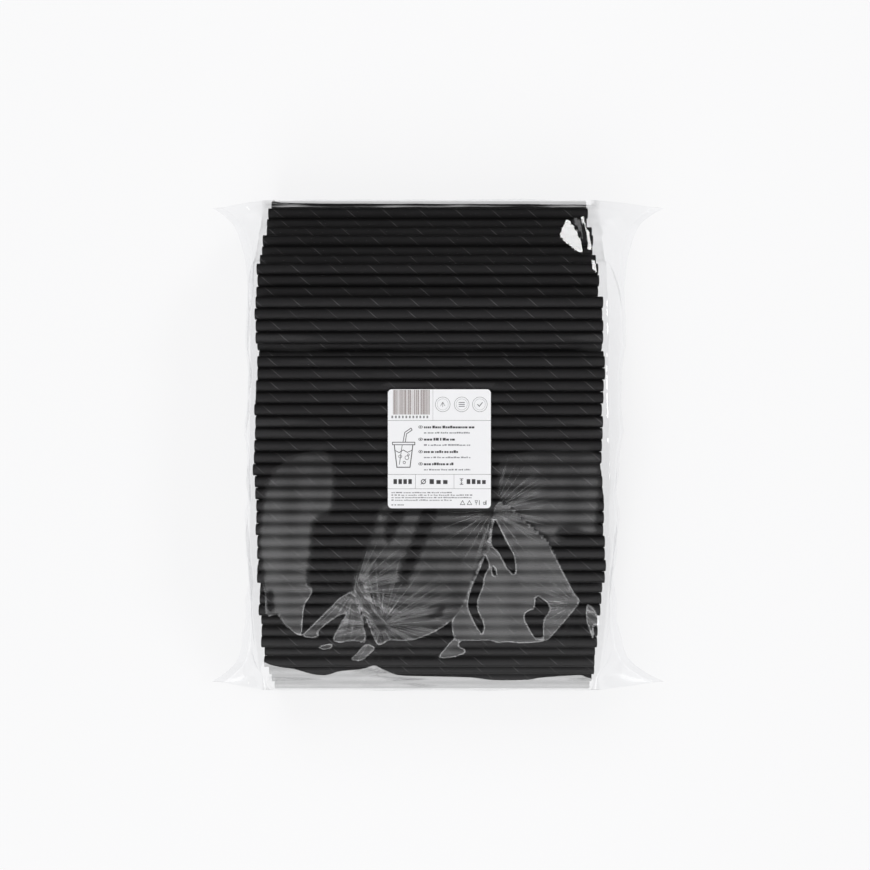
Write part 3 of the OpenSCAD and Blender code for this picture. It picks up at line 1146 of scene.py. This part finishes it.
    def half_rings(self, end: End, upper: bool, share: np.ndarray) -> np.ndarray:
        """Rings of points of one film of one half of the bag, from its middle out to the strip's edge.

        Args:
            end: Which end the half has.
            upper: True for the film over the straws.
            share: Where along the film its points are.
        Returns:
            An array of rings, points and x, y, z, in mm.
        """
        side = end.value[0]
        base = self.outline(upper, share)
        ahead, behind = np.roll(base, -1, axis=0), np.roll(base, 1, axis=0)
        ahead[-1], behind[0] = base[-1], base[0]
        step = ahead - base + base - behind
        normal = np.stack([-step[:, 1], step[:, 0]], 1) / np.hypot(*step.T)[:, None]
        if not upper:
            normal = -normal
        fold = self.folds(share) if upper else np.zeros_like(share)
        run = share * self.over
        u = (2 * share - 1) * (1 - 0.004 * (not upper) * np.power(np.abs(2 * share - 1), 40))
        rings = []
        inner = self.body_rows // 2
        for i in range(inner + 1):
            inset = self.ends_x * (1 - i / inner)
            x = np.full(len(share), side * (self.ends_x - inset))
            height = fold * max(0.0, 1 - inset / self.fold_length) ** 1.5
            if upper:
                height = height + self.slack(x + self.pile.middle_x, base[:, 0], run)
            rings.append(np.column_stack([x, base + normal * height[:, None]]))
        seal = self.seal(u, end)
        gap = self.film_apart if upper else -self.film_apart
        start = rings[-1].copy()
        turn = 2 * np.pi * share
        pleat = np.sin(self.pleats * turn + 2.5 * np.sin(7 * share))
        pleat += 0.6 * np.sin(1.7 * self.pleats * turn + 1)
        calm = 1 - np.power(np.abs(u), 8)
        for i in range(1, self.end_rows + 1):
            t = i / self.end_rows
            way = seal - np.stack([np.zeros(len(share)), start[:, 1], start[:, 2]], 1)
            x = way[:, 0] * t**0.85 + fold * (1 - t) * 3 * t
            y = start[:, 1] + way[:, 1] * t**1.25
            z = start[:, 2] + way[:, 2] * t**1.25 + gap * t
            gather = self.pleat_height * pleat * calm * math.sin(math.pi * min(t * 1.1, 1.0)) * t**0.4
            x = x + 0.8 * gather * t
            y = y + normal[:, 0] * gather * (1 - t)
            z = z + normal[:, 1] * gather * (1 - t) + 0.35 * gather * t
            rings.append(np.stack([side * (self.ends_x + x), y, z], 1))
        angle = np.radians(68 - 50 * np.power(np.abs(u), 3))
        for i in range(1, self.strip_rows + 1):
            t = i / self.strip_rows
            out = self.seal_width * t
            flutter = self.flutter_height * np.sin(self.flutters * turn + 1.2) * t
            x = seal[:, 0] + np.cos(angle) * out + flutter + np.sin(angle) * gap
            z = seal[:, 2] - np.sin(angle) * out + np.cos(angle) * gap
            rings.append(np.stack([side * (self.ends_x + x), seal[:, 1], z], 1))
        return np.array(rings)

    def rings(self) -> np.ndarray:
        """All rings of the bag from the left strip to the right one.

        Returns:
            The points as rings by columns, in mm about the bag's middle.
        """
        over = self.shares(self.upper_columns)
        fewer = np.linspace(0, 1, self.lower_columns + 1)
        under = np.interp(fewer, np.linspace(0, 1, self.upper_columns + 1), over)
        whole = []
        for end in End:
            upper = self.half_rings(end, True, over)
            lower = self.half_rings(end, False, under)
            ring = np.concatenate([upper, lower[:, -2:0:-1]], axis=1)
            whole.append(ring[::-1] if end is End.LEFT else ring[1:])
        return np.concatenate(whole)

    def facets(self, at: np.ndarray) -> tuple[np.ndarray, np.ndarray, np.ndarray]:
        """How far film points lie inside the facets, and the facets' planes.

        Args:
            at: The points seen from above, in mm.
        Returns:
            The distances in mm, the planes' normals, and 1 where the nearest edge is a crisp fold.
        """
        inside = np.full(len(at), FAR_OUTSIDE)
        crisp = np.zeros(len(at))
        lie = np.interp(at[:, 1], *zip(*self.lies))
        lie += 0.5 * np.sin(at[:, 0] / 3.1 + 0.5 * np.sin(at[:, 1] / 19))
        lie += 0.5 * np.sin(at[:, 0] / 7.7 + at[:, 1] / 41)
        plane = np.zeros((len(at), 3))
        for facet in LIT_FACETS.values():
            far, sharp = self.reach(facet, at)
            nearer = far > inside
            tilt = np.radians(lie[nearer] + facet.steeper)
            own = np.stack([np.zeros(len(tilt)), -np.sin(tilt), np.cos(tilt)], 1)
            inside[nearer] = far[nearer]
            crisp[nearer] = 0 if facet.normal else sharp[nearer]
            plane[nearer] = facet.normal or own
        for slit in DARK_SLITS.values():
            far, sharp = self.reach(slit, at)
            nearer = -far < inside
            inside[nearer], crisp[nearer] = -far[nearer], sharp[nearer]
        return inside, plane, crisp

    def reach(self, facet: Facet, at: np.ndarray) -> tuple[np.ndarray, np.ndarray]:
        """How far points lie inside a facet.

        Args:
            facet: The facet.
            at: The points seen from above, in mm.
        Returns:
            The distances, which grow slowly from a soft edge, and how crisp the edge is there.
        """
        sharp = facet.sharp(at)
        growth = self.soft_edge + (1 - self.soft_edge) * sharp
        return signed_distance(rounded(facet.outline), at) * growth, sharp

    def build(self) -> bpy.types.Object:
        """The bag as one closed sheet of film.

        Returns:
            The piece.
        """
        rings = self.rings()
        count, columns, _ = rings.shape
        points = rings.reshape(-1, 3) + [self.pile.middle_x, 0, 0]
        base = np.arange(columns)
        after = (base + 1) % columns
        band = np.stack([base, after, after + columns, base + columns], 1)
        faces = np.concatenate([band + r * columns for r in range(count - 1)])
        mesh = bpy.data.meshes.new("film_sheet")
        mesh.from_pydata((points * MM).tolist(), [], faces.tolist())
        mesh.update()
        on_top = mesh.polygons[(count // 2) * columns + self.upper_columns // 2]
        if on_top.normal.z < 0:
            mesh.flip_normals()
        upper = np.tile(base <= self.upper_columns, count)
        inside, plane, crisp = self.facets(points[:, :2])
        over_straws = np.abs(points[:, 0] - self.pile.middle_x) < self.ends_x + 1
        inside = np.where(upper & over_straws, inside, FAR_OUTSIDE)
        ring_of = np.repeat(np.arange(count), columns)
        from_end = np.minimum(ring_of, count - 1 - ring_of)
        sealed = np.where(from_end < self.strip_rows, 1.0, 0.0)
        past_straws = np.clip((self.strip_rows + self.end_rows - from_end) / self.end_fade_rows, 0, 1)
        seen = self.pile.seen()
        phase = np.interp(points[:, 1], seen, np.arange(len(seen)))
        flat = upper * (1 - past_straws) * np.interp(points[:, 1], self.flat_ends, (1, 0))
        flat = np.maximum(flat, np.clip(inside + 0.5, 0, 1))
        off_label = self.from_label(points[:, 0], points[:, 1])
        under = np.clip(1 - off_label / self.label_fade, 0, 1) * upper
        measures = {
            "facet_edge": inside, "facet_crisp": crisp, "seal": sealed, "at_end": past_straws,
            "straw_phase": phase, "drawn_flat": flat, "under_label": under,
        }
        for name, values in measures.items():
            mesh.attributes.new(name, "FLOAT", "POINT").data.foreach_set("value", values)
        planes = mesh.attributes.new("facet_normal", "FLOAT_VECTOR", "POINT")
        planes.data.foreach_set("vector", plane.ravel())
        self.map_sheet(mesh, count, columns)
        mesh.shade_smooth()
        mesh.materials.append(self.finish.material())
        piece = bpy.data.objects.new("film_sheet", mesh)
        bpy.context.scene.collection.objects.link(piece)
        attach(piece, ROOT)
        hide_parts("film_bag")
        return piece

    def map_sheet(self, mesh: bpy.types.Mesh, count: int, columns: int) -> None:
        """Lay the sheet's UV map out as one rectangle.

        Args:
            mesh: The sheet.
            count: Its rings.
            columns: Points in a ring.
        """
        loops = np.empty(len(mesh.loops), dtype=np.int64)
        mesh.loops.foreach_get("vertex_index", loops)
        ring, column = loops // columns, loops % columns
        first = np.repeat(column.reshape(-1, 4).max(1) == columns - 1, 4)
        wraps = first & (column == 0)
        flat = np.stack([np.where(wraps, columns, column) / columns, ring / (count - 1)], 1)
        mesh.uv_layers.new(name="UVMap").data.foreach_set("uv", flat.ravel())


# The label


class Ink(Enum):
    """The label's inks."""

    BLACK = ("black_print", (0.035, 0.034, 0.036, 1), (0.075, 0.073, 0.076, 1))
    GREY = ("grey_print", (0.22, 0.22, 0.23, 1), (0.32, 0.32, 0.33, 1))
    BROWN = ("brown_grey_print", (0.23, 0.185, 0.175, 1), (0.33, 0.28, 0.27, 1))


@dataclass
class PaperLabel:
    """The white label on the film, with its print as flat fields, lines and rings.

    Sizes are in mm. cell is the most that a field of print spans before it is divided, so that it follows
    the paper's waves, and ink_depth is how far the print goes into the paper.
    """

    width: float = 71.0
    length: float = 82.0
    radius: float = 2.6
    middle: Point = (0.5, -2.0)
    ink_height: float = 0.03
    ink_depth: float = 0.01
    cell: float = 3.0
    columns: int = 36
    rows: int = 41
    straw_step: float = 8.1
    finish: LabelPaper = field(default_factory=LabelPaper)
    shapes: list[tuple[Ink, list[Point]]] = field(default_factory=list)

    def __post_init__(self) -> None:
        """Take the label's bottom and top from its CAD node."""
        low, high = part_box("paper_label")
        self.bottom, self.top = low[2], high[2]

    def at(self, fx: float, fy: float) -> Point:
        """A place on the label in mm, from shares of its width from the left and length from the top."""
        return (
            self.middle[0] + (fx - 0.5) * self.width,
            self.middle[1] + (0.5 - fy) * self.length,
        )

    def wave(self, x: float, y: float) -> float:
        """How far the paper follows the straws under it and lies down at its edge.

        Args:
            x: A place along the straws, in mm.
            y: And across them.
        Returns:
            The height there, in mm.
        """
        edge = min(self.width / 2 - abs(x - self.middle[0]), self.length / 2 - abs(y - self.middle[1]))
        over_straws = 0.014 * math.sin(y * 2 * math.pi / self.straw_step)
        return over_straws + 0.05 * math.sin(x / 13 + y / 17) - 0.01 * max(0.0, 1 - edge / 3)

    def build_sheet(self) -> bpy.types.Object:
        """The paper: a thin card that waves a little over the straws.

        Returns:
            The piece.
        """
        bm = bmesh.new()
        columns, rows = self.columns, self.rows
        grid = []
        for j in range(rows + 1):
            for i in range(columns + 1):
                x, y = self.at(i / columns, j / rows)
                grid.append(self.pull_in(x, y))
        top = [bm.verts.new((x * MM, y * MM, self.top + self.wave(x, y) * MM)) for x, y in grid]
        low = [bm.verts.new((x * MM, y * MM, self.bottom)) for x, y in grid]
        stride = columns + 1
        for j in range(rows):
            for i in range(columns):
                a, b = j * stride + i, j * stride + i + 1
                c, d = b + stride, a + stride
                bm.faces.new([top[a], top[d], top[c], top[b]])
                bm.faces.new([low[a], low[b], low[c], low[d]])
        rim = [*range(columns), *(j * stride + columns for j in range(rows))]
        rim += [rows * stride + i for i in range(columns, 0, -1)]
        rim += [j * stride for j in range(rows, 0, -1)]
        for a, b in zip(rim, rim[1:] + rim[:1]):
            bm.faces.new([top[a], top[b], low[b], low[a]])
        bmesh.ops.recalc_face_normals(bm, faces=bm.faces[:])
        mesh = bpy.data.meshes.new("label_sheet")
        bm.to_mesh(mesh)
        bm.free()
        mesh.shade_smooth()
        mesh.set_sharp_from_angle(angle=math.radians(40))
        mesh.materials.append(self.finish.material())
        piece = bpy.data.objects.new("label_sheet", mesh)
        bpy.context.scene.collection.objects.link(piece)
        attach(piece, ROOT)
        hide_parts("paper_label")
        return piece

    def pull_in(self, x: float, y: float) -> Point:
        """Move a grid point near a corner in, so that the corner is round.

        Args:
            x: The point's place, in mm.
            y: And across the straws.
        Returns:
            The new place.
        """
        dx = abs(x - self.middle[0]) - (self.width / 2 - self.radius)
        dy = abs(y - self.middle[1]) - (self.length / 2 - self.radius)
        if dx <= 0 or dy <= 0:
            return x, y
        reach = max(dx, dy)
        shrink = reach / math.hypot(dx, dy)
        sx, sy = math.copysign(1, x - self.middle[0]), math.copysign(1, y - self.middle[1])
        return (
            self.middle[0] + sx * (self.width / 2 - self.radius + dx * shrink),
            self.middle[1] + sy * (self.length / 2 - self.radius + dy * shrink),
        )

    # The print's places are shares of the label, from its top left corner, and its widths are in mm.

    def bar(self, ink: Ink, x0: float, y0: float, x1: float, y1: float) -> None:
        """Draw a filled rectangle.

        Args:
            ink: Its ink.
            x0: Its left side.
            y0: Its top.
            x1: Its right side.
            y1: Its bottom.
        """
        (a, b), (c, d) = self.at(x0, y1), self.at(x1, y0)
        xs = np.linspace(a, c, max(2, 1 + math.ceil((c - a) / self.cell)))
        ys = np.linspace(b, d, max(2, 1 + math.ceil((d - b) / self.cell)))
        for p, q in zip(xs, xs[1:]):
            for r, t in zip(ys, ys[1:]):
                self.shapes.append((ink, [(p, r), (q, r), (q, t), (p, t)]))

    def stroke(self, ink: Ink, path: Sequence[Point], width: float, closed: bool = False) -> None:
        """Draw a line of even width.

        Args:
            ink: Its ink.
            path: The places that it runs through.
            width: Its width in mm.
            closed: True where it runs back to its start.
        """
        points = [np.array(self.at(*p)) for p in path]
        if closed:
            points.append(points[0])
        for a, b in zip(points, points[1:]):
            way = (b - a) / (np.hypot(*(b - a)) + 1e-9)
            side = np.array([-way[1], way[0]]) * width / 2
            end = way * width / 2
            corners = (a - end - side, b + end - side, b + end + side, a - end + side)
            self.shapes.append((ink, [tuple(corner) for corner in corners]))

    def ring(self, ink: Ink, x: float, y: float, radius: float, width: float, squash: float = 1.0,
             steps: int = 28) -> None:
        """Draw a ring.

        Args:
            ink: Its ink.
            x: Its middle's place.
            y: And down the label.
            radius: Its outer radius in mm.
            width: Its line's width in mm.
            squash: Its height as a share of its width.
            steps: The straight stretches it is made of.
        """
        cx, cy = self.at(x, y)
        angles = [math.radians(360 * i / steps) for i in range(steps + 1)]
        for a0, a1 in zip(angles, angles[1:]):
            quad = [
                (cx + r * math.cos(a), cy + r * squash * math.sin(a))
                for r, a in ((radius, a0), (radius, a1), (radius - width, a1), (radius - width, a0))
            ]
            self.shapes.append((ink, quad[::-1]))

    def words(self, ink: Ink, x0: float, x1: float, y: float, height: float, seed: int) -> None:
        """Draw a line of print as short plain blocks of uneven lengths.

        Args:
            ink: Its ink.
            x0: Where it starts.
            x1: Where it ends.
            y: Its middle's place down the label.
            height: The tallest blocks' height, as a share of the label's.
            seed: Seed of the blocks' sizes.
        """
        rng = np.random.default_rng(seed)
        x = x0
        while x < x1 - 0.004:
            wide = min(float(rng.uniform(0.010, 0.030)), x1 - x)
            tall = height * float(rng.choice([0.72, 0.72, 1.0]))
            self.bar(ink, x, y + height / 2 - tall, x + wide, y + height / 2)
            x += wide + float(rng.choice([0.004, 0.004, 0.012]))

    def draw(self) -> None:
        """Lay out the print: ruled cells, a field of bars, badges, a cup with a straw, and blocks."""
        black, grey, brown = Ink.BLACK, Ink.GREY, Ink.BROWN
        for y in (0.262, 0.715, 0.836):
            self.bar(black, 0.0, y - 0.0012, 1.0, y + 0.0012)
        self.bar(black, 0.4365, 0.0, 0.4385, 0.262)
        for x in (0.268, 0.642):
            self.bar(black, x - 0.0012, 0.715, x + 0.0012, 0.836)
        rng = np.random.default_rng(11)
        x = 0.05
        while x < 0.405:
            wide = float(rng.choice([0.0035, 0.0035, 0.007, 0.0105]))
            self.bar(brown, x, 0.004, x + wide, 0.212)
            x += wide + float(rng.choice([0.0035, 0.0045, 0.008]))
        for i in range(11):
            self.bar(grey, 0.035 + i * 0.034, 0.222, 0.052 + i * 0.034, 0.243)
        self.draw_badges()
        self.draw_cup()
        rows = ((0.317, 0.84), (0.42, 0.65), (0.524, 0.68), (0.627, 0.65))
        for i, (y, end) in enumerate(rows):
            self.ring(black, 0.318, y, 1.5, 0.42, 0.7)
            self.ring(black, 0.318, y, 0.5, 0.5)
            self.words(black, 0.35, end, y, 0.022, 20 + i)
            self.words(grey, 0.35, 0.80, y + 0.048, 0.013, 40 + i)
        self.draw_sizes()
        for i, y in enumerate((0.868, 0.889, 0.910, 0.931)):
            self.words(grey, 0.035, 0.62 + 0.2 * (i in (1, 2)), y, 0.010, 60 + i)
        self.words(grey, 0.035, 0.155, 0.970, 0.012, 70)
        for i, x in enumerate((0.725, 0.792, 0.868, 0.945)):
            self.draw_sign(i, x, 0.953)

    def draw_badges(self) -> None:
        """Draw three round badges: one with an arrow, one with three lines, one with a tick."""
        black = Ink.BLACK
        for i, x in enumerate((0.533, 0.717, 0.893)):
            self.ring(black, x, 0.127, 5.2, 0.22)
            self.ring(Ink.GREY, x, 0.127, 3.9, 0.16)
            if i == 0:
                self.stroke(black, [(x - 0.02, 0.138), (x, 0.108), (x + 0.02, 0.138)], 0.3)
                self.stroke(black, [(x, 0.108), (x, 0.146)], 0.3)
            elif i == 1:
                for dy in (-0.016, 0.0, 0.016):
                    self.stroke(black, [(x - 0.026, 0.127 + dy), (x + 0.026, 0.127 + dy)], 0.45)
            else:
                self.stroke(black, [(x - 0.022, 0.127), (x - 0.005, 0.143), (x + 0.024, 0.112)], 0.5)

    def draw_cup(self) -> None:
        """Draw a cup with a lid, a bent straw, a little drink and bubbles, in lines."""
        black = Ink.BLACK
        self.stroke(black, [(0.045, 0.445), (0.262, 0.445), (0.262, 0.466), (0.045, 0.466)], 0.5, True)
        self.stroke(black, [(0.062, 0.466), (0.088, 0.655), (0.215, 0.655), (0.243, 0.466)], 0.6)
        straw = [(0.148, 0.44), (0.165, 0.362), (0.225, 0.326), (0.236, 0.342), (0.182, 0.374), (0.17, 0.44)]
        self.stroke(black, straw, 0.5)
        self.stroke(black, [(0.139, 0.47), (0.112, 0.63)], 0.4)
        self.stroke(black, [(0.071, 0.515), (0.11, 0.532), (0.15, 0.51), (0.19, 0.53), (0.235, 0.512)], 0.45)
        for x, y, r in ((0.12, 0.565, 1.2), (0.185, 0.575, 1.5), (0.16, 0.615, 1.0), (0.2, 0.55, 0.8)):
            self.ring(black, x, y, r, 0.35, steps=16)

    def draw_sizes(self) -> None:
        """Draw the row of sizes: blocks, a crossed ring for the diameter and a span for the length."""
        black = Ink.BLACK
        for i in range(4):
            self.bar(black, 0.055 + i * 0.048, 0.755, 0.089 + i * 0.048, 0.796)
        self.ring(black, 0.345, 0.776, 1.75, 0.6)
        self.stroke(black, [(0.322, 0.798), (0.368, 0.754)], 0.45)
        for i in range(3):
            self.bar(black, 0.405 + i * 0.066, 0.755 + 0.008 * (i > 0), 0.447 + i * 0.066, 0.796)
        for y in (0.752, 0.80):
            self.stroke(black, [(0.70, y), (0.73, y)], 0.4)
        self.stroke(black, [(0.715, 0.757), (0.715, 0.795)], 0.35)
        for y, tip in ((0.765, 0.757), (0.787, 0.795)):
            self.stroke(black, [(0.706, y), (0.715, tip), (0.724, y)], 0.3)
        for i in range(4):
            self.bar(black, 0.765 + i * 0.050, 0.755 + 0.008 * (i > 1), 0.800 + i * 0.050, 0.796)

    def draw_sign(self, kind: int, x: float, y: float) -> None:
        """Draw one of the small plain signs.

        Args:
            kind: 0 or 1 for a triangle, 2 for a glass beside a line, 3 for a bin beside a bar.
            x: Its middle's place.
            y: And down the label.
        """
        black = Ink.BLACK
        top, foot = y - 0.018, y + 0.016
        if kind < 2:
            self.stroke(black, [(x - 0.022, foot), (x, top), (x + 0.022, foot)], 0.35, True)
        elif kind == 2:
            glass = [(x - 0.022, top), (x - 0.016, y), (x - 0.004, y), (x + 0.002, top)]
            self.stroke(black, glass, 0.32, True)
            self.stroke(black, [(x - 0.01, y), (x - 0.01, y + 0.017)], 0.32)
            self.stroke(black, [(x + 0.02, top), (x + 0.02, y + 0.017)], 0.4)
        else:
            rim = y - 0.004
            bin_line = [(x - 0.018, rim), (x - 0.014, foot), (x - 0.002, foot), (x, rim)]
            self.bar(black, x + 0.004, top, x + 0.012, y + 0.018)
            self.stroke(black, bin_line, 0.35, True)

    def build_print(self) -> bpy.types.Object:
        """The print as thin closed prisms of ink on the paper.

        Returns:
            The piece.
        """
        self.draw()
        points: list[Spot] = []
        faces: list[list[int]] = []
        inks: list[int] = []
        order = list(Ink)
        for ink, loop in self.shapes:
            n, first = len(loop), len(points)
            for lift in (-self.ink_depth, self.ink_height):
                points += [(x * MM, y * MM, self.top + (self.wave(x, y) + lift) * MM) for x, y in loop]
            low = [first + i for i in range(n)]
            high = [first + n + i for i in range(n)]
            faces += [high, low[::-1]]
            faces += [[low[i], low[(i + 1) % n], high[(i + 1) % n], high[i]] for i in range(n)]
            inks += [order.index(ink)] * (n + 2)
        mesh = bpy.data.meshes.new("label_print")
        mesh.from_pydata(points, [], faces)
        for ink in order:
            name, colour, thin = ink.value
            mesh.materials.append(PrintInk(name=name, colour=colour, thin=thin).material())
        mesh.polygons.foreach_set("material_index", inks)
        mesh.update()
        piece = bpy.data.objects.new("label_print", mesh)
        bpy.context.scene.collection.objects.link(piece)
        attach(piece, ROOT)
        return piece


# The studio


@dataclass(frozen=True)
class Lamp:
    """A square lamp that looks at the pack; mirrored says whether the film mirrors it."""

    name: str
    place: Spot
    size: float
    watts: float
    mirrored: bool = False


@dataclass
class Studio:
    """Camera straight above, pale floor, and soft light.

    The lights from dome_light on are strengths of the world. The dome lights the scene evenly, and the
    others are what the film mirrors: the panel in front, the strip beyond it, the haze between it and the
    camera, the dim rest of the room, and its sides.
    """

    eye: Spot = (-0.0025, 0.0075, 0.894)
    lens: float = 47.7
    sensor: float = 36.0
    aim: Spot = (0.0, 0.0, 0.05)
    floor_half: float = 9.0
    dome_light: float = 0.2
    panel_light: float = 1.55
    strip_light: float = 3.4
    haze_light: float = 0.16
    dim_light: float = 0.015
    side_light: float = 0.93
    lamps: tuple[Lamp, ...] = (
        Lamp("lamp_over", (-0.2, 0.05, 2.6), 1.2, 20.0),
        Lamp("lamp_front", (-0.3, -1.7, 1.5), 1.0, 18.0),
        Lamp("lamp_back", (-0.4, 1.7, 1.6), 1.0, 16.0),
        Lamp("lamp_right", (1.3, 0.3, 1.6), 0.45, 6.5, True),
    )

    def build(self) -> None:
        """Camera, floor, world and lamps."""
        camera = bpy.data.cameras.new("camera")
        camera.lens, camera.sensor_width = self.lens, self.sensor
        camera.clip_start, camera.clip_end = 0.01, 100.0
        eye = bpy.data.objects.new("camera", camera)
        eye.location = self.eye
        bpy.context.scene.collection.objects.link(eye)
        bpy.context.scene.camera = eye
        self.build_floor()
        self.build_world()
        for lamp in self.lamps:
            light = bpy.data.lights.new(lamp.name, "AREA")
            light.shape, light.size, light.energy = "SQUARE", lamp.size, lamp.watts
            hung = bpy.data.objects.new(lamp.name, light)
            hung.location = lamp.place
            away = Vector(self.aim) - Vector(lamp.place)
            hung.rotation_euler = away.to_track_quat("-Z", "Y").to_euler()
            hung.visible_glossy = lamp.mirrored
            bpy.context.scene.collection.objects.link(hung)
        bpy.context.scene.view_settings.view_transform = "Standard"

    def build_floor(self) -> None:
        """The floor, which isn't part of the object."""
        half = self.floor_half
        mesh = bpy.data.meshes.new("floor")
        corners = [(-half, -half, 0), (half, -half, 0), (half, half, 0), (-half, half, 0)]
        mesh.from_pydata(corners, [], [(0, 1, 2, 3)])
        mesh.materials.append(StudioFloor().material())
        floor = bpy.data.objects.new("floor", mesh)
        floor.visible_glossy = False
        bpy.context.scene.collection.objects.link(floor)

    def build_world(self) -> None:
        """An even dome of light, white for the camera, and a plain room for what the film mirrors.

        Lean and aside are how far a direction leans to the front and to a side, as shares of its height.
        """
        world = bpy.data.worlds.new("studio")
        bpy.context.scene.world = world
        world.use_nodes = True
        world.node_tree.nodes.clear()
        shop = NodeShop(world.node_tree)
        x, y, z = shop.parts(shop.out("ShaderNodeTexCoord", "Generated"))
        height = z.step(0.0, 0.01) * z + 0.001
        lean = (0 - y) / height
        aside = abs(x) / height
        ahead = aside.step(1.7, 1.3) * z.step(0.02, 0.05)
        panel = lean.step(0.3, 0.8) * lean.step(1.5, 1.2) * ahead
        strip = lean.step(1.15, 1.35) * lean.step(2.7, 2.2) * ahead
        haze = lean.step(0.05, 0.23) * lean.step(0.7, 0.4) * aside.step(1.0, 0.6)
        sides = z.step(0.36, 0.28) * (abs(x) - abs(y) * 0.9).step(0.0, 0.15)
        front_low = z.step(-0.3, -0.5) * (0 - y).step(0.1, 0.3) * (1 - sides)
        back_low = z.step(-0.6, -0.75) * y.step(0.1, 0.3) * (1 - sides)
        room = panel * self.panel_light + strip * self.strip_light + haze * self.haze_light
        room = room + (sides + front_low + back_low) * self.side_light + self.dim_light
        path = shop.add("ShaderNodeLightPath")
        mirrored, seen = (Sock(shop, path.outputs[name]) for name in ("Is Glossy Ray", "Is Camera Ray"))
        light = room * mirrored + self.dome_light * (1 - mirrored) * (1 - seen) + seen
        colour = shop.out("ShaderNodeCombineColor", 0, None, {0: light, 1: light, 2: light * 1.01})
        sky = shop.out("ShaderNodeBackground", 0, None, {"Color": colour, "Strength": 1.0})
        shop.add("ShaderNodeOutputWorld", None, {"Surface": sky})


def main() -> None:
    """Build every part of the scene in order and log it."""
    logging.basicConfig(level=logging.INFO, format="%(name)s: %(message)s")
    pile = StrawPile()
    for piece in pile.build():
        log.info("%s: %d faces", piece.name, len(piece.data.polygons))
    film = FilmBag(pile).build()
    log.info("%s: %d faces", film.name, len(film.data.polygons))
    label = PaperLabel()
    for piece in (label.build_sheet(), label.build_print()):
        log.info("%s: %d faces", piece.name, len(piece.data.polygons))
    Studio().build()


if __name__ == "__main__":
    main()
